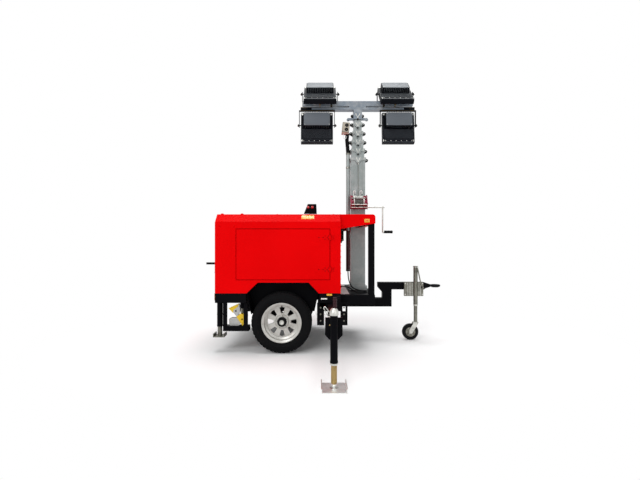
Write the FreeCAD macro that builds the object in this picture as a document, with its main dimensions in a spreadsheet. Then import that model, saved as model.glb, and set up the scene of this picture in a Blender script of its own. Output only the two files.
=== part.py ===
"""Mobile light tower: a single-axle trailer with a generator canopy, sliding outriggers and a
telescopic square-tube mast that carries four floodlights.

+Z is up, +X points to the drawbar, +Y to the left. The origin is on the ground, in the middle
of the tower's footprint. All sizes are millimetres.
"""
import FreeCAD, Part
import math
import os
import re
import Sketcher

# Driving dimensions: name, value, what it is
SIZES = [
    ("axle_x", -495, "wheel axle, along the trailer"),
    ("tyre_wall", 103, "tyre height outside the rim flange"),
    ("tyre_width", 185, "tyre section width"),
    ("tyre_proud", 30, "tyres stand out of the canopy's sides"),
    ("rim_radius", 197, "rim flange radius"),
    ("rim_flange", 17, "rim flange above the bead seat"),
    ("rim_drop", 20, "drop centre below the bead seat"),
    ("rim_sheet", 6, "rim barrel thickness"),
    ("rim_width", 156, "rim width over the flanges"),
    ("hub_radius", 60, "wheel centre boss"),
    ("window_foot", 24, "wheel windows start this far out of the boss"),
    ("window_margin", 20, "wheel windows end this far inside the drop centre"),
    ("window_count", 8, "windows round the wheel disc"),
    ("stub_radius", 18, "stub axle radius"),
    ("shaft_gap", 0.3, "running gap round shafts and guides"),
    ("swing_gap", 5, "gap round what swings"),
    ("canopy_behind", 657, "canopy behind the axle"),
    ("canopy_ahead", 583, "canopy ahead of the axle"),
    ("canopy_half", 620, "half width of the canopy"),
    ("canopy_floor", 588, "underside of the canopy"),
    ("canopy_tall", 704, "height of the canopy sides"),
    ("roof_rise", 82, "height of the roof bevel"),
    ("roof_inset", 80, "width of the roof bevel"),
    ("wall", 30, "thickness of canopy panels and doors"),
    ("arch_rise", 106, "wheel arch above the canopy floor"),
    ("arch_room_rear", 45, "wheel arch clear of the tyre, behind it"),
    ("arch_room_front", 67, "wheel arch clear of the tyre, ahead of it"),
    ("arch_lean_rear", 110, "run of the arch's rear slope"),
    ("arch_lean_front", 100, "run of the arch's front slope"),
    ("skirt_drop", 205, "mudguard skirts below the canopy floor"),
    ("arch_tuck", 45, "how far the mudguard skirts lean in"),
    ("guard_sheet", 5, "mudguard thickness"),
    ("guard_gap", 19, "mudguard clear of the tyre's inner face"),
    ("door_margin_rear", 206, "door edge from the canopy's rear face"),
    ("door_margin_front", 104, "door edge from the canopy's front face"),
    ("door_margin_low", 25, "door above the wheel arch"),
    ("door_margin_top", 66, "door below the eaves"),
    ("hinge_radius", 8, "door hinge knuckle"),
    ("hinge_gap", 1, "gap between the knuckle and the fixed leaf and wall"),
    ("hinge_margin_low", 105, "lower hinge above the door's foot"),
    ("hinge_margin_top", 88, "upper hinge below the door's top"),
    ("hinge_tall", 44, "strap hinge height"),
    ("strap_long", 130, "strap on the door"),
    ("leaf_long", 46, "fixed leaf, from the hinge line"),
    ("strap_thick", 4, "strap thickness"),
    ("louvre_margin", 62, "louvres clear of the panel's top and bottom"),
    ("louvre_inset", 190, "louvres clear of the canopy's sides"),
    ("louvre_deep", 14, "how far a louvre stands out"),
    ("louvre_tall", 30, "height of a louvre hood"),
    ("sill_depth", 94, "depth of the side sills"),
    ("frame_tube", 60, "width of the frame tubes"),
    ("rail_middle", 340, "inner face of the main rails from the centre line"),
    ("front_rail_drop", 36, "front frame below the canopy floor"),
    ("front_rail_tall", 90, "depth of the front frame"),
    ("front_rail_inner", 450, "inner face of the front rails and posts"),
    ("nose_length", 354, "front frame ahead of the canopy"),
    ("tray_thick", 8, "mast base tray"),
    ("extension_drop", 65, "roof extension below the eaves, at the canopy"),
    ("nose_tall", 91, "height of the roof extension's nose"),
    ("extension_round", 24, "nose rounding of the roof extension"),
    ("nose_wall", 5, "front sheet of the roof extension"),
    ("mast_room", 15, "roof opening clear of the mast"),
    ("mast_ahead", 225.5, "mast centre ahead of the canopy"),
    ("mast_width", 160, "base tube, across the flats"),
    ("mast_step", 18, "each next tube is narrower by this"),
    ("mast_wall", 4, "mast tube wall"),
    ("foot_tall", 47, "mast foot block height"),
    ("foot_flange", 20, "mast foot block wider than the base tube, each side"),
    ("base_length", 1430, "base tube, foot to collar"),
    ("collar_pitch", 102, "rise from collar to collar, mast down"),
    ("collar_tall", 34, "collar height"),
    ("collar_wall", 8, "collar thickness"),
    ("ear_reach", 20, "pulley ears beyond the collar"),
    ("ear_drop", 26, "pulley ears below the collar's middle"),
    ("ear_sheet", 4, "pulley ear plate thickness"),
    ("pulley_radius", 17, "collar pulleys"),
    ("pulley_thick", 12, "collar pulley thickness"),
    ("anchor_half", 34, "half width of the chain anchor plates"),
    ("anchor_drop", 44, "chain anchor plates below the collar"),
    ("anchor_sheet", 5, "chain anchor plate thickness"),
    ("anchor_hole", 5, "chain anchor hole radius"),
    ("pad_tall", 60, "guide pads at the foot of each section"),
    ("pad_wide", 30, "guide pad width"),
    ("head_width", 96, "mast head socket"),
    ("head_gap", 38, "mast head above the last collar"),
    ("head_arm", 112, "half reach of the head's pulley arms"),
    ("socket_tall", 110, "height of the mast head socket"),
    ("lower_bar_tall", 24, "lower lamp bar height"),
    ("lower_bar_half", 525, "half length of the lower lamp bar"),
    ("bar_gap", 21, "gap between the lamp bars"),
    ("upper_bar_tall", 56, "upper lamp bar height"),
    ("upper_bar_half", 630, "half length of the upper lamp bar"),
    ("bar_width", 60, "lamp bars, across"),
    ("lamp_width", 366, "floodlight width"),
    ("lamp_depth", 56, "floodlight body thickness"),
    ("lamp_above", 145, "floodlight above its pivot"),
    ("lamp_below", 215, "floodlight below its pivot"),
    ("lamp_rim", 16, "rim round the floodlight's glass"),
    ("lens_deep", 8, "glass set back from the rim"),
    ("driver_margin", 29, "driver box in from the floodlight's sides"),
    ("driver_depth", 60, "driver box depth"),
    ("driver_inset", 23, "driver box below the floodlight's top"),
    ("driver_below", 40, "driver box below the pivot"),
    ("yoke_room", 22, "yoke clear of the floodlight, sheet included"),
    ("yoke_sheet", 6, "yoke thickness"),
    ("yoke_wide", 40, "yoke strap width"),
    ("pivot_radius", 6, "lamp pivot bolt"),
    ("knob_radius", 15, "lamp pivot knob"),
    ("knob_thick", 12, "lamp pivot knob thickness"),
    ("lower_lamp_offset", 465, "lower lamps from the mast"),
    ("upper_lamp_offset", 430, "upper lamps from the mast"),
    ("pivot_drop", 170, "lower lamp pivots below the lower bar"),
    ("pivot_rise", 89, "upper lamp pivots above the upper bar"),
    ("lower_tilt", 6, "lower lamps face down by this, degrees"),
    ("upper_tilt", 47.5, "upper lamps face down by this, degrees"),
    ("winch_out", 76, "winch drum in front of the base tube"),
    ("winch_rise", 132, "winch above the roof"),
    ("winch_half", 91, "half width of the winch"),
    ("winch_above", 114, "winch plates above the winch's middle"),
    ("winch_below", 36, "winch plates below the winch's middle"),
    ("winch_deep", 140, "winch plates, out from the mast"),
    ("winch_plate", 7, "winch plate thickness"),
    ("drum_lift", 24, "winch drum above the winch's middle"),
    ("drum_radius", 34, "winch drum"),
    ("drum_flange", 52, "winch drum flanges"),
    ("drum_half", 52, "winch drum flanges from the middle"),
    ("shaft_drop", 22, "crank shaft below the winch's middle"),
    ("crank_bar", 8, "crank bar radius"),
    ("crank_reach", 265, "crank shaft, out from the mast centre"),
    ("crank_drop", 273, "crank arm"),
    ("grip_radius", 14, "crank grip"),
    ("grip_length", 110, "crank grip length"),
    ("beam_back", 101, "right outrigger beam behind the canopy's front"),
    ("beam_spacing", 76, "left outrigger beam lies this far behind"),
    ("beam_size", 60, "outrigger beam, across the flats"),
    ("housing_wall", 5, "outrigger housing wall"),
    ("housing_inset", 20, "outrigger housings inside the canopy's width"),
    ("portal_half", 151, "half width of the housings' end plates"),
    ("portal_leg", 70, "width of the end plates' legs"),
    ("portal_shift", 18, "end plates ahead of the right beam"),
    ("portal_drop", 224, "height of the housings' end plates"),
    ("portal_sheet", 8, "thickness of the housings' end plates"),
    ("beam_end", 1500, "outer end of an outrigger beam"),
    ("beam_overlap", 250, "outrigger beam left in its housing when out"),
    ("leg_out", 30, "outrigger jack beyond the beam's end"),
    ("leg_radius", 28, "outer jack tube"),
    ("leg_wall", 5, "jack tube wall"),
    ("leg_above", 95, "outrigger jack above the beam's middle"),
    ("leg_bottom", 178, "lower end of the outrigger jack tube"),
    ("handle_tall", 132, "folded handle above the outrigger jack"),
    ("handle_wide", 26, "folded handle width"),
    ("handle_sheet", 8, "folded handle thickness"),
    ("handle_grip", 25, "grip length of the folded handle"),
    ("handle_bar", 9, "grip radius of the folded handle"),
    ("screw_overlap", 62, "inner jack tube inside the outer"),
    ("screw_point", 9, "radius of the screw's lower end"),
    ("point_tall", 46, "tapered lower end of the screw"),
    ("foot_long", 193, "foot plate, along the trailer"),
    ("foot_wide", 200, "foot plate, across the trailer"),
    ("foot_thick", 8, "foot plate thickness"),
    ("foot_lip", 34, "turned-up ends of the foot plate"),
    ("gusset_half", 65, "half width of the jack bracket"),
    ("gusset_above", 61, "jack bracket above the beam's middle"),
    ("gusset_below", 102, "jack bracket below the beam's middle"),
    ("rear_jack_inset", 30, "rear jacks inside the canopy's rear face"),
    ("rear_jack_side", 80, "rear jacks inside the canopy's sides"),
    ("rear_jack_bottom", 250, "lower end of the rear jack tube"),
    ("rear_foot_height", 150, "rear foot above the ground, wound up"),
    ("rear_foot_size", 112, "rear foot plate"),
    ("rear_screw_inside", 225, "rear screw inside its tube"),
    ("rear_crank_rise", 291, "rear crank grips above the canopy floor"),
    ("rear_crank_throw", 90, "rear crank arm"),
    ("rear_crank_shaft", 22, "rear crank shaft, out from the canopy"),
    ("rear_crank_reach", 113, "rear crank grips behind the canopy"),
    ("rear_crank_in", 26, "rear cranks inside the jacks"),
    ("rear_grip_radius", 11, "rear crank grips"),
    ("carrier_low", 212, "underside of the chock carrier"),
    ("carrier_tall", 50, "height of the chock carrier bar"),
    ("carrier_wide", 90, "width of the chock carrier bar"),
    ("carrier_inset", 20, "chock carriers inside the canopy's sides"),
    ("carrier_start", 45, "chock carriers ahead of the rear jacks"),
    ("carrier_gap", 27, "chock carriers clear of the tyres"),
    ("carrier_wall", 6, "chock carrier bar wall"),
    ("hanger_wide", 40, "chock carrier hangers"),
    ("tail_lamp_half", 55, "half width of a tail lamp"),
    ("tail_lamp_tall", 72, "tail lamp height"),
    ("tail_lamp_deep", 28, "tail lamp depth"),
    ("tail_lamp_side", 150, "tail lamp centres inside the canopy's sides"),
    ("drawbar_half", 45, "half width of the drawbar tubes"),
    ("drawbar_under", 97, "depth of the lower drawbar"),
    ("drawbar_back", 54, "lower drawbar behind the canopy's front"),
    ("drawbar_run", 258, "lower drawbar ahead of the front frame"),
    ("drawbar_neck", 154, "length of the drawbar step"),
    ("drawbar_rise", 179, "upper drawbar's top above the front frame's underside"),
    ("drawbar_tall", 81, "depth of the upper drawbar"),
    ("drawbar_reach", 375, "upper drawbar ahead of the step"),
    ("eye_reach", 190, "towing eye ahead of the drawbar"),
    ("eye_radius", 60, "towing eye, outside"),
    ("eye_bar", 13, "towing eye bar radius"),
    ("eye_bore", 38, "towing eye bore radius"),
    ("jockey_back", 113, "jockey tube behind the drawbar's end"),
    ("jockey_tube", 24, "jockey outer tube radius"),
    ("jockey_wall", 3.5, "jockey tube wall"),
    ("jockey_above", 180, "jockey tube above its clamp"),
    ("jockey_under", 107, "jockey tube below its clamp"),
    ("jockey_inside", 150, "jockey leg inside its tube"),
    ("jockey_fork_top", 203, "top of the jockey fork"),
    ("jockey_trail", 61, "jockey wheel behind its tube"),
    ("jockey_radius", 90, "jockey wheel radius"),
    ("jockey_thick", 46, "jockey wheel thickness"),
    ("jockey_pin", 8, "jockey wheel pin radius"),
    ("jockey_cap", 8, "cap on the jockey tube"),
    ("jockey_crank_drop", 226, "folded jockey crank, top to grip"),
    ("jockey_crank_run", 50, "folded jockey crank, along the trailer"),
    ("jockey_crank_bar", 12, "jockey crank bar"),
    ("jockey_grip", 60, "jockey crank grip length"),
    ("clamp_behind", 126, "jockey clamp behind the tube"),
    ("clamp_ahead", 88, "jockey clamp ahead of the tube"),
    ("clamp_proud", 8, "jockey clamp above the drawbar"),
    ("clamp_tall", 159, "height of the jockey clamp"),
    ("clamp_plate", 10, "jockey clamp plate"),
    ("clamp_block", 26, "jockey clamp block thickness"),
    ("conduit_out", 32.5, "cable tube clear of the base tube, to its centre"),
    ("conduit_side", 60, "cable tube from the centre line"),
    ("conduit_radius", 21, "cable tube radius"),
    ("conduit_rise", 210, "lower end of the cable tube above the tray"),
    ("conduit_over", 69, "cable tube above the base tube's collar"),
    ("hose_radius", 15, "hose between cable tube and plug box"),
    ("hose_length", 224, "length of that hose"),
    ("plug_lean", 6, "plug box leans back by this, degrees"),
    ("plug_shift", 20, "plug box set back from the hose"),
    ("plug_box_tall", 130, "plug box height"),
    ("plug_box_long", 84, "plug box, along the trailer"),
    ("plug_box_wide", 70, "plug box, across the trailer"),
    ("socket_box_deep", 42, "junction box on the canopy's front"),
    ("socket_box_wide", 110, "junction box width"),
    ("socket_box_tall", 132, "junction box height"),
    ("socket_box_drop", 182, "junction box below the eaves"),
    ("gland_radius", 10, "cable gland"),
    ("gland_long", 25, "cable gland length"),
    ("gland_side", 300, "cable gland from the centre line"),
    ("gland_rise", 34, "cable gland above the canopy floor"),
    ("cable_radius", 6, "cable at the mast foot"),
    ("cowl_back", 388, "rear of the exhaust cowl behind the canopy's front"),
    ("cowl_long", 150, "exhaust cowl length"),
    ("cowl_tall", 130, "exhaust cowl height"),
    ("cowl_slope", 52, "run of the cowl's rear slope"),
    ("cowl_sheet", 4, "exhaust cowl sheet"),
    ("cowl_flange", 10, "exhaust cowl flange"),
    ("cowl_side", 320, "right side of the exhaust cowl inside the canopy's side"),
    ("cowl_wide", 180, "exhaust cowl width"),
    ("exhaust_radius", 30, "exhaust pipe"),
    ("exhaust_tall", 84, "exhaust pipe above the roof"),
    ("engine_inset", 192, "engine and generator from the canopy's rear face"),
    ("engine_long", 800, "engine and generator length"),
    ("engine_half", 270, "half width of the engine and generator"),
    ("bearer_inset", 60, "engine bearers, in from the ends of the engine"),
    ("engine_tall", 520, "height of the engine and generator"),
]

# The telescoping sections and the louvres of an end panel
SECTION_COUNT = 5
LOUVRE_COUNT = 10
# Places that follow from the driving dimensions
PLACES = {
    "tyre_radius": "rim_radius + tyre_wall",
    "tyre_face": "canopy_half + tyre_proud",
    "axle_height": "tyre_radius",
    "rim_seat": "rim_radius - rim_flange",
    "rim_well": "rim_seat - rim_drop",
    "window_inner": "hub_radius + window_foot",
    "window_outer": "rim_well - window_margin",
    "canopy_rear": "axle_x - canopy_behind",
    "canopy_front": "axle_x + canopy_ahead",
    "canopy_eaves": "canopy_floor + canopy_tall",
    "canopy_top": "canopy_eaves + roof_rise",
    "arch_rear": "tyre_radius + arch_room_rear",
    "arch_front": "tyre_radius + arch_room_front",
    "arch_rear_top": "arch_rear - arch_lean_rear",
    "arch_front_top": "arch_front - arch_lean_front",
    "arch_top": "canopy_floor + arch_rise",
    "arch_skirt": "canopy_floor - skirt_drop",
    "guard_inner": "tyre_face - tyre_width - guard_gap",
    "door_rear": "canopy_rear + door_margin_rear",
    "door_front": "canopy_front - door_margin_front",
    "door_bottom": "arch_top + door_margin_low",
    "door_top": "canopy_eaves - door_margin_top",
    "hinge_low": "door_bottom + hinge_margin_low",
    "hinge_high": "door_top - hinge_margin_top",
    "louvre_low": "canopy_floor + louvre_margin",
    "louvre_pitch": f"(canopy_tall - 2 * louvre_margin) / {LOUVRE_COUNT}",
    "louvre_half": "canopy_half - louvre_inset",
    "sill_bottom": "canopy_floor - sill_depth",
    "front_rail_top": "canopy_floor - front_rail_drop",
    "frame_bottom": "front_rail_top - front_rail_tall",
    "frame_front": "canopy_front + nose_length",
    "tray_top": "front_rail_top + tray_thick",
    "extension_low": "canopy_eaves - extension_drop",
    "extension_nose": "canopy_top - nose_tall",
    "mast_x": "canopy_front + mast_ahead",
    "mast_foot": "tray_top + foot_tall",
    "collar_height": "mast_foot + base_length",
    "head_foot": f"collar_height + {SECTION_COUNT - 1} * collar_pitch + collar_tall / 2 + head_gap",
    "lower_bar_foot": "head_foot + socket_tall",
    "upper_bar_foot": "lower_bar_foot + lower_bar_tall + bar_gap",
    "upper_bar_top": "upper_bar_foot + upper_bar_tall",
    "lower_pivot": "lower_bar_foot - pivot_drop",
    "upper_pivot": "upper_bar_top + pivot_rise",
    "driver_width": "lamp_width - 2 * driver_margin",
    "driver_above": "lamp_above - driver_inset",
    "yoke_half": "lamp_width / 2 + yoke_room",
    "winch_y": "mast_width / 2 + winch_out",
    "winch_z": "canopy_top + winch_rise",
    "winch_top": "winch_z + winch_above",
    "winch_low": "winch_z - winch_below",
    "beam_x": "canopy_front - beam_back",
    "beam_middle": "sill_bottom - housing_wall - shaft_gap - beam_size / 2",
    "housing_half": "canopy_half - housing_inset",
    "leg_y": "beam_end + leg_out",
    "leg_top": "beam_middle + leg_above",
    "gusset_top": "beam_middle + gusset_above",
    "gusset_bottom": "beam_middle - gusset_below",
    "rear_jack_x": "canopy_rear + rear_jack_inset",
    "rear_jack_y": "canopy_half - rear_jack_side",
    "rear_crank_z": "canopy_floor + rear_crank_rise",
    "rear_crank_end": "canopy_rear - rear_crank_reach",
    "carrier_rear": "rear_jack_x + carrier_start",
    "carrier_front": "axle_x - tyre_radius - carrier_gap",
    "drawbar_low": "frame_bottom - drawbar_under",
    "drawbar_rear": "canopy_front - drawbar_back",
    "drawbar_drop": "frame_front + drawbar_run",
    "drawbar_step": "drawbar_drop - drawbar_neck",
    "drawbar_top": "frame_bottom + drawbar_rise",
    "drawbar_end": "drawbar_drop + drawbar_reach",
    "eye_front": "drawbar_end + eye_reach",
    "eye_height": "drawbar_top - drawbar_tall / 2",
    "jockey_x": "drawbar_end - jockey_back",
    "jockey_y": "-(drawbar_half + clamp_plate + jockey_tube)",
    "clamp_rear": "jockey_x - clamp_behind",
    "clamp_front": "jockey_x + clamp_ahead",
    "clamp_top": "drawbar_top + clamp_proud",
    "clamp_low": "clamp_top - clamp_tall",
    "jockey_top": "clamp_top + jockey_above",
    "jockey_bottom": "clamp_low - jockey_under",
    "conduit_x": "mast_x - mast_width / 2 - conduit_out",
    "conduit_low": "tray_top + conduit_rise",
    "conduit_top": "collar_height + conduit_over",
    "cowl_rear": "canopy_front - cowl_back",
    "cowl_right": "cowl_side - canopy_half",
    "engine_rear": "canopy_rear + engine_inset",
}
# Route of the cable at the mast foot, from the cable tube to its gland
CABLE_ROUTE = [(201, -60, 770), (201, -60, 680), (240, -140, 585), (330, -215, 566.3), (404, -290, 566.3),
               (352, -382, 566.3), (250, -386, 567), (192, -300, 622), (113, -300, 622)]
SIDES = {"left": 1, "right": -1}
# Lamps: name, side of the mast along X, level
LAMPS = [("upper_rear", -1, "upper"), ("upper_front", 1, "upper"),
         ("lower_rear", -1, "lower"), ("lower_front", 1, "lower")]

ALIASES = {alias for alias, value, meaning in SIZES}
# Cylinder directions: axis letter to the rotation that turns +Z there
TURNS = {"x": FreeCAD.Rotation(FreeCAD.Vector(0, 1, 0), 90),
         "y": FreeCAD.Rotation(FreeCAD.Vector(1, 0, 0), -90),
         "z": FreeCAD.Rotation()}
PLANES = {"xy": "XY_Plane", "xz": "XZ_Plane", "yz": "YZ_Plane"}

doc = FreeCAD.newDocument("light_tower")
nodes = []


def fill_sheet():
    """Write the driving dimensions and give each its alias."""
    sheet = doc.addObject("Spreadsheet::Sheet", "dims")
    for row, (alias, value, meaning) in enumerate(SIZES, start=1):
        sheet.set(f"A{row}", alias)
        sheet.set(f"B{row}", str(value))
        sheet.set(f"C{row}", meaning)
        sheet.setAlias(f"B{row}", alias)
    doc.recompute()


def bound(text):
    """Turn a formula in plain names into one that reads the sheet."""
    def lookup(match):
        word = match.group(0)
        if word in PLACES:
            return f"({bound(PLACES[word])})"
        return "dims." + word if word in ALIASES else word
    return re.sub(r"[a-z][a-z_]*", lookup, str(text))


def bind(item, prop, text):
    """Drive one property of an object by a formula."""
    item.setExpression(prop, bound(text))


def place(item, x, y, z):
    """Drive an object's position by three formulas."""
    for letter, text in zip("xyz", (x, y, z)):
        bind(item, f"Placement.Base.{letter}", text)


def mirrored_span(side, inner, outer):
    """Low and high Y of something between inner and outer on one side of the centre line."""
    if side == "left":
        return (inner, outer)
    return (f"-({outer})", f"-({inner})")


def block(name, x, y, z):
    """A box between a low and a high formula along each axis."""
    box = doc.addObject("Part::Box", name)
    for prop, (low, high) in zip(("Length", "Width", "Height"), (x, y, z)):
        bind(box, prop, f"({high}) - ({low})")
    place(box, x[0], y[0], z[0])
    return box


def rod(name, axis, start, radius, length):
    """A round bar from a start point along an axis."""
    bar = doc.addObject("Part::Cylinder", name)
    bar.Placement = FreeCAD.Placement(FreeCAD.Vector(0, 0, 0), TURNS[axis])
    bind(bar, "Radius", radius)
    bind(bar, "Height", length)
    place(bar, *start)
    return bar


def join(name, pieces):
    """One shape out of several."""
    fused = doc.addObject("Part::MultiFuse", name)
    fused.Shapes = pieces
    return fused


def pierce(name, base, tool):
    """The base less the tool; several tools come as a list."""
    cut = doc.addObject("Part::Cut", name)
    cut.Base = base
    cut.Tool = join(name + "_tools", tool) if isinstance(tool, list) else tool
    return cut


def outline(body, name, plane, points):
    """A closed sketch of straight edges whose corners are held by formulas."""
    sketch = body.newObject("Sketcher::SketchObject", name)
    support = next(item for item in body.Origin.OriginFeatures if item.Role == PLANES[plane])
    sketch.AttachmentSupport = [(support, "")]
    sketch.MapMode = "FlatFace"
    count = len(points)
    start = [FreeCAD.Vector(math.cos(2 * math.pi * i / count), math.sin(2 * math.pi * i / count), 0)
             for i in range(count)]
    for i in range(count):
        sketch.addGeometry(Part.LineSegment(start[i], start[(i + 1) % count]), False)
    for i in range(count):
        sketch.addConstraint(Sketcher.Constraint("Coincident", i, 2, (i + 1) % count, 1))
    for i, point in enumerate(points):
        for kind, value, text in zip(("DistanceX", "DistanceY"), (start[i].x, start[i].y), point):
            index = sketch.addConstraint(Sketcher.Constraint(kind, -1, 1, i, 1, value + 0.001))
            bind(sketch, f"Constraints[{index}]", text)
    return sketch


def prism(name, plane, points, low, high):
    """An outline drawn on a plane and pushed from low to high along the plane's normal."""
    body = doc.addObject("PartDesign::Body", name)
    pad = body.newObject("PartDesign::Pad", name + "_pad")
    pad.Profile = outline(body, name + "_outline", plane, points)
    bind(pad, "Length", f"({high}) - ({low})")
    axis = {"xz": "y", "yz": "x", "xy": "z"}[plane]
    # the XZ plane's pad runs towards -Y, so its body sits at the high end
    bind(body, f"Placement.Base.{axis}", high if plane == "xz" else low)
    return body


def turned(name, points):
    """A half section, radius by offset, turned about the body's Y axis."""
    body = doc.addObject("PartDesign::Body", name)
    sketch = outline(body, name + "_section", "xy", points)
    turn = body.newObject("PartDesign::Revolution", name + "_turn")
    turn.Profile = sketch
    turn.ReferenceAxis = (sketch, ["V_Axis"])
    turn.Angle = 360
    return body


def keep(item, label):
    """Record a finished sub-part under its own label."""
    item.Label = label
    nodes.append(item)
    return item


def square_tube(name, x, y, z, wall, along):
    """A square tube, open along one axis."""
    spans = []
    for axis, (low, high) in zip("xyz", (x, y, z)):
        if axis == along:
            spans.append((low, high))
        else:
            spans.append((f"({low}) + {wall}", f"({high}) - {wall}"))
    return pierce(name, block(name + "_outside", x, y, z), block(name + "_bore", *spans))


def make_frame():
    """Main rails, cross members, sills and the front frame with its tray."""
    pieces = []
    for side in SIDES:
        rail = mirrored_span(side, "rail_middle", "rail_middle + frame_tube")
        sill = mirrored_span(side, "canopy_half - frame_tube", "canopy_half")
        front = mirrored_span(side, "front_rail_inner", "front_rail_inner + frame_tube")
        height = ("sill_bottom", "canopy_floor")
        pieces.append(block(f"rail_{side}", ("canopy_rear", "canopy_front"), rail, height))
        pieces.append(block(f"rear_sill_{side}", ("canopy_rear", "axle_x - arch_rear - guard_sheet"),
                            sill, height))
        pieces.append(block(f"front_sill_{side}", ("axle_x + arch_front + guard_sheet", "canopy_front"),
                            sill, height))
        pieces.append(block(f"front_rail_{side}", ("canopy_front - frame_tube", "frame_front"),
                            front, ("frame_bottom", "front_rail_top")))
    full = ("-canopy_half", "canopy_half")
    crossings = {"rear": "canopy_rear", "middle": "axle_x + arch_front + guard_sheet",
                 "canopy": "canopy_front - frame_tube"}
    for place_name, start in crossings.items():
        pieces.append(block(f"cross_{place_name}", (start, f"{start} + frame_tube"), full,
                            ("sill_bottom", "canopy_floor")))
    bearers = {"rear": "engine_rear + bearer_inset",
               "front": "engine_rear + engine_long - bearer_inset - frame_tube"}
    for place_name, start in bearers.items():
        pieces.append(block(f"bearer_{place_name}", (start, f"{start} + frame_tube"),
                            ("-rail_middle", "rail_middle"),
                            ("sill_bottom", "canopy_floor")))
    inner = ("-(front_rail_inner + frame_tube)", "front_rail_inner + frame_tube")
    pieces.append(block("cross_front", ("frame_front - frame_tube", "frame_front"), inner,
                        ("frame_bottom", "front_rail_top")))
    pieces.append(block("cross_step", ("canopy_front - frame_tube", "canopy_front"),
                        ("-front_rail_inner", "front_rail_inner"),
                        ("frame_bottom", "sill_bottom")))
    pieces.append(block("tray", ("canopy_front", "frame_front"), inner,
                        ("front_rail_top", "tray_top")))
    keep(join("frame", pieces), "chassis_frame")


def make_posts():
    """The two front posts that carry the roof extension."""
    posts = []
    for side in SIDES:
        span = mirrored_span(side, "front_rail_inner", "front_rail_inner + frame_tube")
        posts.append(block(f"post_{side}",
                           ("frame_front - nose_wall - frame_tube", "frame_front - nose_wall"), span,
                           ("tray_top", "canopy_top - wall")))
    keep(join("posts", posts), "front_posts")


def make_tail_lamps():
    """A lamp near each end of the rear cross member."""
    lamps = []
    for side, sign in SIDES.items():
        lamps.append(block(f"tail_lamp_{side}", ("canopy_rear - tail_lamp_deep", "canopy_rear"),
                           centred(f"{sign} * (canopy_half - tail_lamp_side)", "2 * tail_lamp_half"),
                           centred("(sill_bottom + sill_depth / 2)", "tail_lamp_tall")))
    keep(join("tail_lamp_pair", lamps), "tail_lamps")


def arch_points(shrink):
    """The wheel arch outline, drawn in by a sheet's thickness, skirt to skirt."""
    lean = f"0.45 * ({shrink})"
    return [(f"axle_x - arch_rear + arch_tuck + {shrink}", "arch_skirt"),
            (f"axle_x - arch_rear + {shrink}", f"canopy_floor - {lean}"),
            (f"axle_x - arch_rear_top + {lean}", f"arch_top - {shrink}"),
            (f"axle_x + arch_front_top - {lean}", f"arch_top - {shrink}"),
            (f"axle_x + arch_front - {shrink}", f"canopy_floor - {lean}"),
            (f"axle_x + arch_front - arch_tuck - {shrink}", "arch_skirt")]


def make_mudguards():
    """Folded mudguards: a tunnel over each tyre with a wall on its inner side."""
    guards = []
    for side in SIDES:
        low, high = mirrored_span(side, "guard_inner - guard_sheet", "canopy_half")
        shell = prism(f"guard_shell_{side}", "xz", arch_points("0.2"), low, high)
        low, high = mirrored_span(side, "guard_inner", "canopy_half + 10")
        hollow = prism(f"guard_hollow_{side}", "xz", arch_points("0.2 + guard_sheet"), low, high)
        guards.append(pierce(f"guard_{side}", shell, hollow))
    keep(join("guards", guards), "mudguards")


def make_canopy_sides():
    """Side walls with the wheel arch cut and the doorway, with the fixed hinge leaves."""
    for side in SIDES:
        low, high = mirrored_span(side, "canopy_half - wall", "canopy_half")
        panel = prism(f"side_panel_{side}", "xz",
                      [("canopy_rear", "canopy_floor"),
                       ("axle_x - arch_rear", "canopy_floor"),
                       ("axle_x - arch_rear_top", "arch_top"),
                       ("axle_x + arch_front_top", "arch_top"),
                       ("axle_x + arch_front", "canopy_floor"),
                       ("canopy_front", "canopy_floor"),
                       ("canopy_front", "canopy_eaves"),
                       ("canopy_rear", "canopy_eaves")], low, high)
        doorway = block(f"doorway_{side}", ("door_rear", "door_front"),
                        (f"{low} - 1", f"{high} + 1"), ("door_bottom", "door_top"))
        leaves = [pierce(f"side_cut_{side}", panel, doorway)]
        leaf = mirrored_span(side, "canopy_half", "canopy_half + strap_thick")
        for level in ("low", "high"):
            leaves.append(block(f"leaf_{side}_{level}",
                                ("door_front + hinge_radius + hinge_gap", "door_front + leaf_long"), leaf,
                                (f"hinge_{level} - hinge_tall / 2", f"hinge_{level} + hinge_tall / 2")))
        keep(join(f"side_{side}", leaves), f"canopy_side_{side}")


def make_doors():
    """Service doors, flush in their doorways, on two outside strap hinges each."""
    for side in SIDES:
        slab = block(f"slab_{side}", ("door_rear + swing_gap", "door_front - swing_gap"),
                     mirrored_span(side, "canopy_half - wall", "canopy_half"),
                     ("door_bottom + swing_gap", "door_top - swing_gap"))
        pieces = [slab]
        strap = mirrored_span(side, "canopy_half", "canopy_half + strap_thick")
        knuckle_y = f"{SIDES[side]} * (canopy_half + hinge_radius + hinge_gap)"
        for level in ("low", "high"):
            centre = f"hinge_{level}"
            pieces.append(block(f"strap_{side}_{level}", ("door_front - strap_long", "door_front"), strap,
                                (f"{centre} - hinge_tall / 2", f"{centre} + hinge_tall / 2")))
            pieces.append(rod(f"knuckle_{side}_{level}", "z",
                              ("door_front", knuckle_y, f"{centre} - hinge_tall / 2"),
                              "hinge_radius", "hinge_tall"))
        keep(join(f"leaf_door_{side}", pieces), f"door_{side}")


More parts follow.
